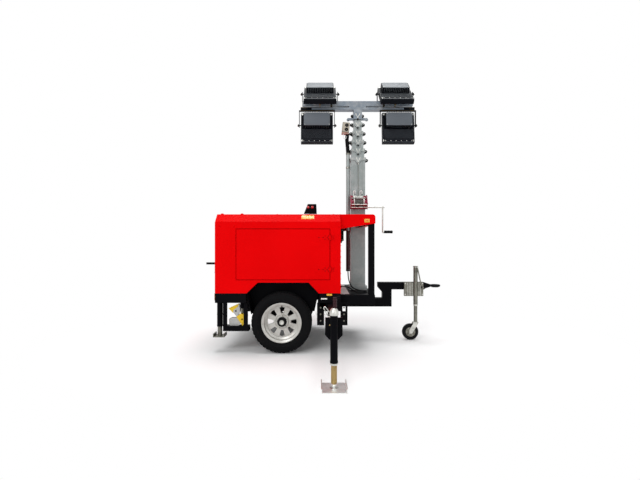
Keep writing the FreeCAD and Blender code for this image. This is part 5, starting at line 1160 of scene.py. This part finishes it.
def make_lamp_front(name, place):
    """The front of one floodlight: white plate, a grid of emitters in their cups, glass and frame."""
    front = Piece(f"floodlight_front_{name}")
    front.where = place
    front.box((-GLASS_HALF, 0.0203, GLASS_LOW), (GLASS_HALF, 0.0216, GLASS_HIGH),
              "reflector_white", 0.0003, 1)
    columns, rows = 6, 5
    cup = [(0.0245, 0), (0.0240, 0.0018), (0.0150, 0.0010), (0.0085, 0.0004)]
    chip = 0.0085
    for column in range(columns):
        for row in range(rows):
            x = -GLASS_HALF + 2 * GLASS_HALF * (column + 0.5) / columns
            z = GLASS_LOW + (GLASS_HIGH - GLASS_LOW) * (row + 0.5) / rows
            front.turned((x, 0.0216, z), (0, 1, 0), cup, "reflector_chrome", 28)
            front.box((x - chip, 0.0214, z - chip), (x + chip, 0.0226, z + chip), "emitter", 0.0006, 1)
    lap = 0.0006
    front.box((-GLASS_HALF - lap, 0.0238, GLASS_LOW - lap), (GLASS_HALF + lap, 0.0252, GLASS_HIGH + lap),
              "lamp_glass", 0.0004, 1)
    for x_low, x_high, z_low, z_high in ((-LAMP_HALF, LAMP_HALF, 0.1290, 0.1410),
                                         (-LAMP_HALF, LAMP_HALF, -0.2110, -0.1990),
                                         (-LAMP_HALF, -0.1670, -0.1990, 0.1290),
                                         (0.1670, LAMP_HALF, -0.1990, 0.1290)):
        front.box((x_low, 0.0270, z_low), (x_high, 0.0300, z_high), "lamp_black", 0.0010)
    for share in (-1, -0.34, 0.34, 1):
        for z in (-0.2050, 0.1350):
            front.screw((0.173 * share, 0.0300, z), (0, 1, 0), 0.0042, "bright_zinc")
    front.finish(f"floodlight_{name}")


class TOWER_OT_cable(bpy.types.Operator):
    """The mast cable, its hose, the plug box and the socket box"""

    bl_idname = "tower.cable"
    bl_label = "Cable and plug box"

    def execute(self, context):
        make_cord()
        make_hose()
        make_tube_clamps()
        make_plug_box()
        make_socket_lid()
        make_tray()
        return {"FINISHED"}


# The free part of the mast cable, from the lower end of its tube to the gland in the front panel
CABLE_ROUTE = [
    (0.201, -0.060, 0.770), (0.201, -0.060, 0.680), (0.240, -0.140, 0.585), (0.330, -0.215, 0.5663),
    (0.404, -0.290, 0.5663), (0.352, -0.382, 0.5663), (0.250, -0.386, 0.567), (0.192, -0.300, 0.622),
    (0.113, -0.300, 0.622),
]
CABLE_THICK = 0.012
# The hose from the tube's upper end to the plug box, and the box's lower left corner and lean
HOSE_ROUTE = [(0.201, -0.060, 2.1065), (0.1955, -0.060, 2.180), (0.1880, -0.060, 2.262),
              (0.1960, -0.060, 2.332)]
HOSE_RINGS = 27
PLUG_CORNER = (0.1260, -0.060, 2.3248)
PLUG_LEAN = 6


def make_cord():
    """The free cable as one smooth spline."""
    curve = bpy.data.curves.new("mast_cable_cord", "CURVE")
    curve.dimensions = "3D"
    curve.bevel_depth = CABLE_THICK / 2
    curve.bevel_resolution = 5
    curve.resolution_u = 24
    curve.use_fill_caps = True
    spline = curve.splines.new("NURBS")
    spline.points.add(len(CABLE_ROUTE) - 1)
    for point, place in zip(spline.points, CABLE_ROUTE):
        point.co = (*place, 1)
    spline.order_u = 3
    spline.use_endpoint_u = True
    curve.materials.append(finish("cable_black"))
    cable = put("mast_cable_cord", curve)
    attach(cable, "chassis")
    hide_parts("mast_cable")


def make_hose():
    """Corrugated hose between the cable tube and the plug box, and the box's white wire hook."""
    route = rounded_path([Vector(point) for point in HOSE_ROUTE], 0.10, 12)
    lengths = [(b - a).length for a, b in zip(route, route[1:])]
    hose = Piece("cable_hose")
    hose.pipe(route, 0.0185, "soft_black", 28)
    for ring in range(HOSE_RINGS):
        left = sum(lengths) * (ring + 0.5) / HOSE_RINGS
        for start, end, length in zip(route, route[1:], lengths):
            if left <= length:
                break
            left -= length
        at = start.lerp(end, left / length)
        hose.ring(at, end - start, 0.0180, 0.0036, 0.0030, 0.0014, "soft_black", 32)
    hook = [(0.150, -0.083, 2.330), (0.146, -0.086, 2.268), (0.176, -0.084, 2.262), (0.186, -0.074, 2.300)]
    hose.pipe(hook, 0.0030, "label_white", 10, 0.018)
    hose.finish("chassis", replaces=["plug_box"])


def make_tube_clamps():
    """Sleeves and clamps of the cable tube: inner and outer radius, low and high Z of each."""
    clamps = Piece("tube_clamps")
    sleeves = [(0.0212, 0.0236, 2.0900, 2.1050, 0, "dull_zinc"),
               (0.0212, 0.0238, 0.7720, 0.7890, 0.001, "soft_black"),
               (0.0211, 0.0224, 0.7900, 1.2270, 0.001, "grip_maroon"),
               (0.0212, 0.0228, 1.3890, 1.4110, 0, "dull_zinc"),
               (0.0212, 0.0228, 1.9290, 1.9510, 0, "dull_zinc")]
    for inner, outer, low, high, ease, name in sleeves:
        section = [(inner, low), (outer, low + ease), (outer, high - ease), (inner, high)]
        clamps.turned((*CABLE_TUBE, 0), (0, 0, 1), section, name, 40, closed=True)
    for z in (1.40, 1.94):
        clamps.bolt((CABLE_TUBE[0] - 0.006, CABLE_TUBE[1] - 0.0224, z), (0, -1, 0), 0.0046)
    clamps.finish("chassis")


def make_plug_box():
    """The plug box with its two round sockets, lid line as a black strip of painted shade, lower band and
    screws.
    """
    piece = Piece("plug_case")
    piece.where = Matrix.Translation(PLUG_CORNER) @ Matrix.Rotation(math.radians(PLUG_LEAN), 4, "Y")
    piece.box((0.0010, -0.0345, 0.0180), (0.0830, 0.0345, 0.1295), "plug_grey", 0.0070, 4)
    piece.box((0.0000, -0.0350, 0.0000), (0.0840, 0.0350, 0.0165), "plug_band", 0.0050, 3)
    piece.box((0.0030, -0.0335, 0.0140), (0.0810, 0.0335, 0.0200), "dark_gap")
    socket = [(0.0195, 0), (0.0200, 0.0020), (0.0185, 0.0030), (0.0168, 0.0030), (0.0158, 0.0012),
              (0.0110, 0.0012), (0.0100, 0.0024), (0, 0.0024)]
    for z in (0.0480, 0.0960):
        piece.turned((0.0500, -0.0338, z), (0, -1, 0), socket, "soft_black", 40)
        piece.box((0.0440, -0.0370, z - 0.0022), (0.0560, -0.0345, z + 0.0022), "dull_zinc", 0.0008)
    for x in (0.0100, 0.0740):
        for z in (0.0270, 0.1200):
            piece.screw((x, -0.0345, z), (0, -1, 0), 0.0038, "dull_zinc")
    piece.finish("chassis")


def make_socket_lid():
    """Lid, screws and gland of the socket box beside the mast."""
    low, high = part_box("socket_box")
    lid_x = high.x + 0.0045
    piece = Piece("socket_fittings")
    piece.box((high.x - 0.002, low.y + 0.004, low.z + 0.004), (lid_x, high.y - 0.004, high.z - 0.004),
              "soft_black", 0.003)
    for y in (low.y + 0.012, high.y - 0.012):
        for z in (low.z + 0.012, high.z - 0.012):
            piece.screw((lid_x, y, z), (1, 0, 0), 0.0046)
    for x in (low.x + 0.010, high.x - 0.012):
        for z in (low.z + 0.014, high.z - 0.014):
            piece.screw((x, low.y, z), (0, -1, 0), 0.0040)
    middle = ((low.x + high.x) / 2, (low.y + high.y) / 2, low.z)
    gland = [(0, -0.002), (0.0120, -0.002), (0.0120, 0.008), (0.0095, 0.010), (0.0095, 0.017),
             (0.0050, 0.0205), (0, 0.0205)]
    piece.turned(middle, (0, 0, -1), gland, "soft_black", 10)
    piece.finish("chassis")


def make_tray():
    """Pale strips and bolts on the tray round the mast, and the nut of the gland in the front panel."""
    piece = Piece("tray_fittings")
    strip_low = TRAY_TOP - 0.0004
    piece.box((0.094, -0.440, strip_low), (0.188, 0.440, TRAY_TOP), "label_white")
    piece.box((0.438, -0.300, strip_low), (0.440, 0.300, TRAY_TOP), "label_white")
    for x in (0.130, 0.420):
        for y in (-0.470, 0.470):
            piece.bolt((x, y, TRAY_TOP), (0, 0, 1), 0.0070)
    nut = [(0.0065, -0.0005), (0.0155, -0.0005), (0.0155, 0.0060), (0.0118, 0.0075), (0.0105, 0.0200),
           (0.0074, 0.0270), (0.0065, 0.0270)]
    piece.turned((0.0885, -0.300, 0.622), (1, 0, 0), nut, "soft_black", 10, closed=True)
    piece.finish("chassis")


class TOWER_OT_outriggers(bpy.types.Operator):
    """Caps, grips, rings and bolts of the outriggers and the rear jacks"""

    bl_idname = "tower.outriggers"
    bl_label = "Outriggers and jacks"

    def execute(self, context):
        for side in SIDES:
            make_outrigger(side)
            make_foot(side)
            make_portal(side)
            make_rear_jack(side)
        return {"FINISHED"}


def make_outrigger(side):
    """Chrome leg cap, ribs of the crank's grip, wire latch, and the rings and grease nipple of the leg."""
    sign = SIDES[side]
    low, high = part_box(f"outrigger_foot_{side}")
    leg_x, leg_y = (low.x + high.x) / 2, (low.y + high.y) / 2
    leg, up = (leg_x, leg_y, 0), (0, 0, 1)
    piece = Piece(f"outrigger_fittings_{side}")
    cap = [(0.0286, 0.5420), (0.0330, 0.5430), (0.0342, 0.5460), (0.0342, 0.5600), (0.0325, 0.5720),
           (0.0275, 0.5850), (0.0200, 0.5940), (0.0150, 0.5970)]
    piece.turned(leg, up, cap, "bright_zinc", 44)
    for k in range(7):
        piece.ring((leg_x + 0.007, leg_y, 0.606 + 0.0112 * k), up, 0.0128, 0.0024, 0.0050, 0.0020,
                   "grip_maroon", 26)
    near_y, out_y = leg_y - sign * 0.004, leg_y - sign * 0.012
    latch = [(leg_x - 0.028, near_y, 0.556), (leg_x - 0.066, out_y, 0.606), (leg_x - 0.078, out_y, 0.596),
             (leg_x - 0.044, near_y, 0.534), (leg_x - 0.026, leg_y, 0.530)]
    piece.pipe(latch, 0.0034, "bright_zinc", 10, 0.012)
    for z in (0.200, 0.520):
        piece.ring((leg_x, leg_y, z), up, 0.0282, 0.0018, 0.009, 0.001, "frame_black", 44)
    end_ring = [(0.0200, 0.1775), (0.0296, 0.1775), (0.0300, 0.1900), (0.0282, 0.1920)]
    piece.turned(leg, up, end_ring, "bright_zinc", 44)
    nipple = [(0, -0.002), (0.0040, -0.002), (0.0040, 0.005), (0.0026, 0.008), (0, 0.008)]
    piece.turned((leg_x - 0.0280, leg_y, 0.470), (-1, 0, 0), nipple, "yellow_zinc", 16)
    piece.finish(f"beam_{side}")


def make_foot(side):
    """The low ring round the screw on the foot plate, and the plate's four holes as black discs of painted
    shade.
    """
    low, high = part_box(f"outrigger_foot_{side}")
    middle = ((low.x + high.x) / 2, (low.y + high.y) / 2, 0)
    foot = Piece(f"foot_fittings_{side}")
    ring = [(0.0190, 0.0058), (0.0350, 0.0060), (0.0338, 0.0078), (0.0230, 0.0102), (0.0190, 0.0108)]
    foot.turned(middle, (0, 0, 1), ring, "bright_zinc", 40, closed=True)
    hole = [(0.0062, -0.0001), (0.0062, 0.0003), (0.0046, 0.0003)]
    for x in (low.x + 0.012, high.x - 0.012):
        for y in (low.y + 0.012, high.y - 0.012):
            foot.turned((x, y, 0.0058), (0, 0, 1), hole, "dark_gap", 20)
    foot.finish(f"foot_{side}")


def make_portal(side):
    """Bolts of the housing's end plates, and the knob that locks the beam."""
    sign = SIDES[side]
    piece = Piece(f"portal_fittings_{side}")
    for x in (-0.111, 0.121):
        for z in (0.3150, 0.3800, 0.4450):
            piece.bolt((x, sign * 0.600, z), (0, sign, 0), 0.0056, "dull_zinc")
    piece.rod((0.005, sign * 0.560, 0.490), (0.005, sign * 0.560, 0.512), 0.0065, "bright_zinc", 20)
    piece.finish("chassis")


def make_rear_jack(side):
    """Two rings round the tube of a rear jack."""
    low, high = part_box(f"rear_foot_{side}")
    tube_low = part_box("rear_jack_tubes")[0].z
    piece = Piece(f"rear_jack_fittings_{side}")
    for z, proud in ((tube_low + 0.006, 0.0014), (tube_low + 0.120, 0.0010)):
        piece.ring(((low.x + high.x) / 2, (low.y + high.y) / 2, z), (0, 0, 1), 0.0280, proud, 0.006, 0.001,
                   "frame_black")
    piece.finish("chassis")


# Chock side outlines (X, Z), their finish and how far they stand in from the chock's faces
CHOCK_OUTLINES = [
    (((-1.022, 0.434), (-0.928, 0.4765), (-0.938, 0.452), (-0.982, 0.418), (-0.984, 0.394)),
     "chock_yellow", 0.0),
    (((-0.980, 0.396), (-0.979, 0.417), (-0.935, 0.451), (-0.925, 0.474), (-0.915, 0.404), (-0.943, 0.352)),
     "chock_grey", 0.002),
    (((-0.946, 0.351), (-0.905, 0.380), (-0.842, 0.359), (-0.887, 0.2625)), "chock_yellow", 0.0),
    (((-1.020, 0.275), (-1.008, 0.263), (-0.930, 0.263), (-0.918, 0.275), (-0.918, 0.312), (-0.945, 0.338),
      (-1.008, 0.338), (-1.020, 0.326)), "chock_grey", 0.004),
]
CHOCK_RIBBED_EDGES = [((-1.022, 0.434), (-0.928, 0.4765)), ((-0.905, 0.380), (-0.842, 0.359)),
                      ((-0.842, 0.359), (-0.887, 0.2625))]
CHOCK_FACES_Y = (0.512, 0.576)
CHOCK_RIBS = 5


class TOWER_OT_chocks(bpy.types.Operator):
    """Ribbed wheel chocks in their carriers"""

    bl_idname = "tower.chocks"
    bl_label = "Wheel chocks"

    def execute(self, context):
        piece = Piece("ribbed_chocks")
        for sign in SIDES.values():
            near, far = on_side(sign, *CHOCK_FACES_Y)
            for outline, name, inset in CHOCK_OUTLINES:
                piece.slab("y", outline, near + inset, far - inset, name, 0.0028)
            for start, end in CHOCK_RIBBED_EDGES:
                for k in range(CHOCK_RIBS):
                    share = (k + 0.7) / (CHOCK_RIBS + 0.4)
                    x = start[0] + (end[0] - start[0]) * share
                    z = start[1] + (end[1] - start[1]) * share - 0.0008
                    piece.rod((x, near + 0.004, z), (x, far - 0.004, z), 0.0032, "chock_yellow", 12)
            face = sign * CHOCK_FACES_Y[1]
            # Two round black marks on each chock's outer face: painted shade
            for x, z in ((-0.955, 0.408), (-0.893, 0.325)):
                piece.rod((x, face - sign * 0.004, z), (x, face + sign * 0.0004, z), 0.0080, "dark_gap", 24)
        piece.finish("chassis", replaces=["wheel_chocks"])
        return {"FINISHED"}


class TOWER_OT_drawbar(bpy.types.Operator):
    """Bolts of the drawbar, its eye and the frame, and the fittings of the jockey wheel"""

    bl_idname = "tower.drawbar"
    bl_label = "Drawbar and jockey wheel"

    def execute(self, context):
        make_drawbar_bolts()
        make_jockey_clamp()
        make_jockey_tube()
        make_jockey_wheel()
        make_frame_bolts()
        return {"FINISHED"}


def make_drawbar_bolts():
    """Bolts that hold the towing eye in the drawbar, and the wear ring of the eye."""
    piece = Piece("drawbar_fittings")
    low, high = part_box("drawbar")
    bar_half = (high.y - low.y) / 2
    shank_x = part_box("towing_eye")[0].x
    axis_z = 0.6005
    for x in (shank_x - 0.035, shank_x - 0.085):
        for face in (-1, 1):
            piece.bolt((x, face * bar_half, axis_z), (0, face, 0), 0.0085)
    wear_ring = [(0.0300, -0.0125), (0.0320, -0.0180), (0.0400, -0.0180), (0.0400, -0.0150)]
    piece.turned((1.205, 0, axis_z), (0, 0, 1), wear_ring, "dull_zinc", 56)
    piece.finish("chassis")


def make_jockey_clamp():
    """Corner bolts and upright ribs of the jockey wheel's clamp."""
    clamp = Piece("jockey_clamp_fittings")
    low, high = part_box("jockey_clamp")
    for z in (low.z + 0.018, high.z - 0.018):
        for x in (low.x + 0.010, high.x - 0.010):
            clamp.bolt((x, low.y, z), (0, -1, 0), 0.0056)
    rib_y = low.y + 0.0010
    for x in (0.872, 0.890, 0.908, 0.926, 1.000, 1.018):
        clamp.rod((x, rib_y, low.z + 0.006), (x, rib_y, high.z - 0.006), 0.0038, "bright_zinc", 14)
    clamp.finish("chassis")


def make_jockey_tube():
    """Rings of the jockey tube, and the grip and nut of its crank."""
    tube = Piece("jockey_tube_fittings")
    for z in (0.3900, 0.8200):
        tube.ring((*JOCKEY_TUBE, z), (0, 0, 1), 0.0238, 0.0014, 0.007, 0.001, "bright_zinc")
    grip = [(0, -0.001), (0.0105, -0.001), (0.0118, 0.004), (0.0118, 0.046), (0.0095, 0.0525), (0, 0.0525)]
    tube.turned((1.024, -0.1120, 0.591), (0, -1, 0), grip, "soft_black", 28)
    tube.bolt((0.974, -0.1130, 0.8170), (0, -1, 0), 0.0058)
    tube.finish("chassis")


def make_jockey_wheel():
    """Hub covers, screws and tyre ridges of the jockey wheel, and the bolts of its fork."""
    low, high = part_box("jockey_wheel")
    centre = (low + high) / 2
    radius = (high.z - low.z) / 2
    half = (high.y - low.y) / 2
    wheel = Piece("jockey_hub")
    cover = [(radius * 0.62, half * 0.70), (radius * 0.60, half * 0.86), (radius * 0.30, half * 0.98),
             (radius * 0.16, half * 0.99), (radius * 0.15, half * 0.80)]
    for face in (-1, 1):
        wheel.turned(centre, (0, face, 0), cover, "dull_zinc", 40)
        for k in range(6):
            angle = math.pi * k / 3
            around = Vector((math.cos(angle), 0, math.sin(angle))) * radius * 0.45
            at = centre + around + Vector((0, face * half * 0.915, 0))
            wheel.screw(at, (0, face, 0), 0.0040, "bright_zinc")
        for offset in (0.25, 0.55):
            at = centre + Vector((0, face * half * offset, 0))
            wheel.ring(at, (0, face, 0), radius * 0.994, radius * 0.006, 0.0016, 0.0004, "soft_black", 64)
    wheel.finish("jockey_roller")
    fork = Piece("jockey_fork_fittings")
    fork_low, fork_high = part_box("jockey_fork")
    for face, y in ((-1, fork_low.y), (1, fork_high.y)):
        fork.bolt((centre.x, y, centre.z), (0, face, 0), 0.0078)
    fork.finish("jockey_swivel")


def make_frame_bolts():
    """Bolts of the front posts, and two on each sill."""
    piece = Piece("frame_fittings")
    for sign in SIDES.values():
        for x in (0.390, 0.424):
            for z in (0.640, 0.700, 1.180):
                piece.bolt((x, sign * 0.510, z), (0, sign, 0), 0.0060, "frame_black")
        for x in (-0.930, 0.020):
            piece.bolt((x, sign * SKIN_Y, 0.5755), (0, sign, 0), 0.0058, "frame_black")
    piece.finish("chassis")


# The photograph is 640 pixels wide and its horizon lies 6 pixels below the middle
IMAGE_WIDTH = 640
PRINCIPAL_DROP = 6
FLOOR_HALF = 40.0
# The floor turns white between these distances from the tower's middle, in metres
FLOOR_FADE = (1.0, 2.0)
WORLD_LIGHT = 0.33
# Lamps: name, the side they shine from, how wide they look in degrees, strength
LAMPS = [
    ("key", (-2.2, -4.2, 3.0), 35, 1.18),
    ("fill", (3.6, -4.4, 2.0), 50, 0.35),
    ("top", (0.25, 0.9, 6.5), 42, 2.00),
]


class TOWER_OT_stage(bpy.types.Operator):
    """Floor, lamps, world and camera"""

    bl_idname = "tower.stage"
    bl_label = "Studio"

    def execute(self, context):
        scene = context.scene
        studio = scene.tower_studio
        scene.view_settings.view_transform = "Standard"
        make_floor()
        make_world(scene)
        make_lamps()
        lens = bpy.data.cameras.new("camera")
        lens.lens = studio.lens
        lens.sensor_width = 36
        lens.shift_y = PRINCIPAL_DROP / IMAGE_WIDTH
        camera = put("camera", lens)
        camera.location = (studio.along, -studio.distance, studio.height)
        camera.rotation_euler = (math.radians(90), 0, 0)
        scene.camera = camera
        return {"FINISHED"}


def seen_directly(f):
    """1 for rays from the camera, from gloss and through glass."""
    rays = {name: f.node("ShaderNodeLightPath", output=name)
            for name in ("Is Camera Ray", "Is Glossy Ray", "Is Transmission Ray")}
    return (rays["Is Camera Ray"] + rays["Is Glossy Ray"] + rays["Is Transmission Ray"]).clamped()


def make_floor():
    """A pale plain floor that takes the shadows and turns to white away from the tower."""
    f = Finish("studio_floor")
    tone = f.grain(0.6, 2)
    base = f.mix(tone, (0.90, 0.90, 0.905), (0.92, 0.92, 0.92))
    paint = f.node("ShaderNodeBsdfPrincipled", {}, {"Base Color": base, "Roughness": tone * 0.1 + 0.7,
                                                    "Specular IOR Level": 0.05})
    away = f.node("ShaderNodeVectorMath", {"operation": "LENGTH"}, {0: f.stretched(0.62, 1, 1)}, 1)
    white = f.node("ShaderNodeEmission", {}, {"Color": (1, 1, 1), "Strength": 1.0})
    open_floor = away.between(*FLOOR_FADE) * seen_directly(f)
    f.node_output(f.node("ShaderNodeMixShader", {}, {0: open_floor, 1: paint, 2: white}))
    mesh = bpy.data.meshes.new("floor")
    corners = [(x * FLOOR_HALF, y * FLOOR_HALF, 0) for x, y in ((-1, -1), (1, -1), (1, 1), (-1, 1))]
    mesh.from_pydata(corners, [], [(0, 1, 2, 3)])
    mesh.materials.append(f.material)
    floor = put("floor", mesh)


def make_world(scene):
    """An even pale world: white where it is seen, softer where it lights."""
    world = bpy.data.worlds.new("studio")
    world.use_nodes = True
    f = Nodes(world.node_tree)
    strength = seen_directly(f) * (1 - WORLD_LIGHT) + WORLD_LIGHT
    light = f.node("ShaderNodeBackground", {}, {"Color": (1, 1, 1), "Strength": strength})
    target = f.tree.nodes.new("ShaderNodeOutputWorld")
    f.tree.links.new(light.socket, target.inputs["Surface"])
    scene.world = world


def make_lamps():
    """Wide soft lamps far away, so that low and high parts get the same light."""
    for name, side, wide, strength in LAMPS:
        data = bpy.data.lights.new(name, "SUN")
        data.energy = strength
        data.angle = math.radians(wide)
        lamp = put(name, data)
        lamp.location = side
        lamp.rotation_euler = (-Vector(side)).to_track_quat("-Z", "Y").to_euler()


class TOWER_PT_panel(bpy.types.Panel):
    """The tower's pieces, one button each"""

    bl_idname = "TOWER_PT_panel"
    bl_label = "Light tower"
    bl_space_type = "VIEW_3D"
    bl_region_type = "UI"
    bl_category = "Tower"

    def draw(self, context):
        for operator in OPERATORS:
            self.layout.operator(operator.bl_idname)


OPERATORS = (TOWER_OT_paint_frame, TOWER_OT_cable, TOWER_OT_tyres, TOWER_OT_canopy, TOWER_OT_mast,
             TOWER_OT_lamps, TOWER_OT_outriggers, TOWER_OT_chocks, TOWER_OT_drawbar, TOWER_OT_stage)
GROUPS = {"tower_colours": TowerColours, "tower_sizes": TowerSizes, "tower_studio": StudioSettings}


def register():
    """Register the classes and hang the settings on the scene."""
    for group in GROUPS.values():
        bpy.utils.register_class(group)
    for name, group in GROUPS.items():
        setattr(bpy.types.Scene, name, bpy.props.PointerProperty(type=group))
    for operator in OPERATORS:
        bpy.utils.register_class(operator)
    bpy.utils.register_class(TOWER_PT_panel)


def unregister():
    """Take everything back."""
    bpy.utils.unregister_class(TOWER_PT_panel)
    for operator in reversed(OPERATORS):
        bpy.utils.unregister_class(operator)
    for name, group in GROUPS.items():
        delattr(bpy.types.Scene, name)
        bpy.utils.unregister_class(group)


def main():
    """Dress the tower."""
    register()
    for operator in OPERATORS:
        family, action = operator.bl_idname.split(".")
        getattr(getattr(bpy.ops, family), action)()


if __name__ == "__main__":
    main()
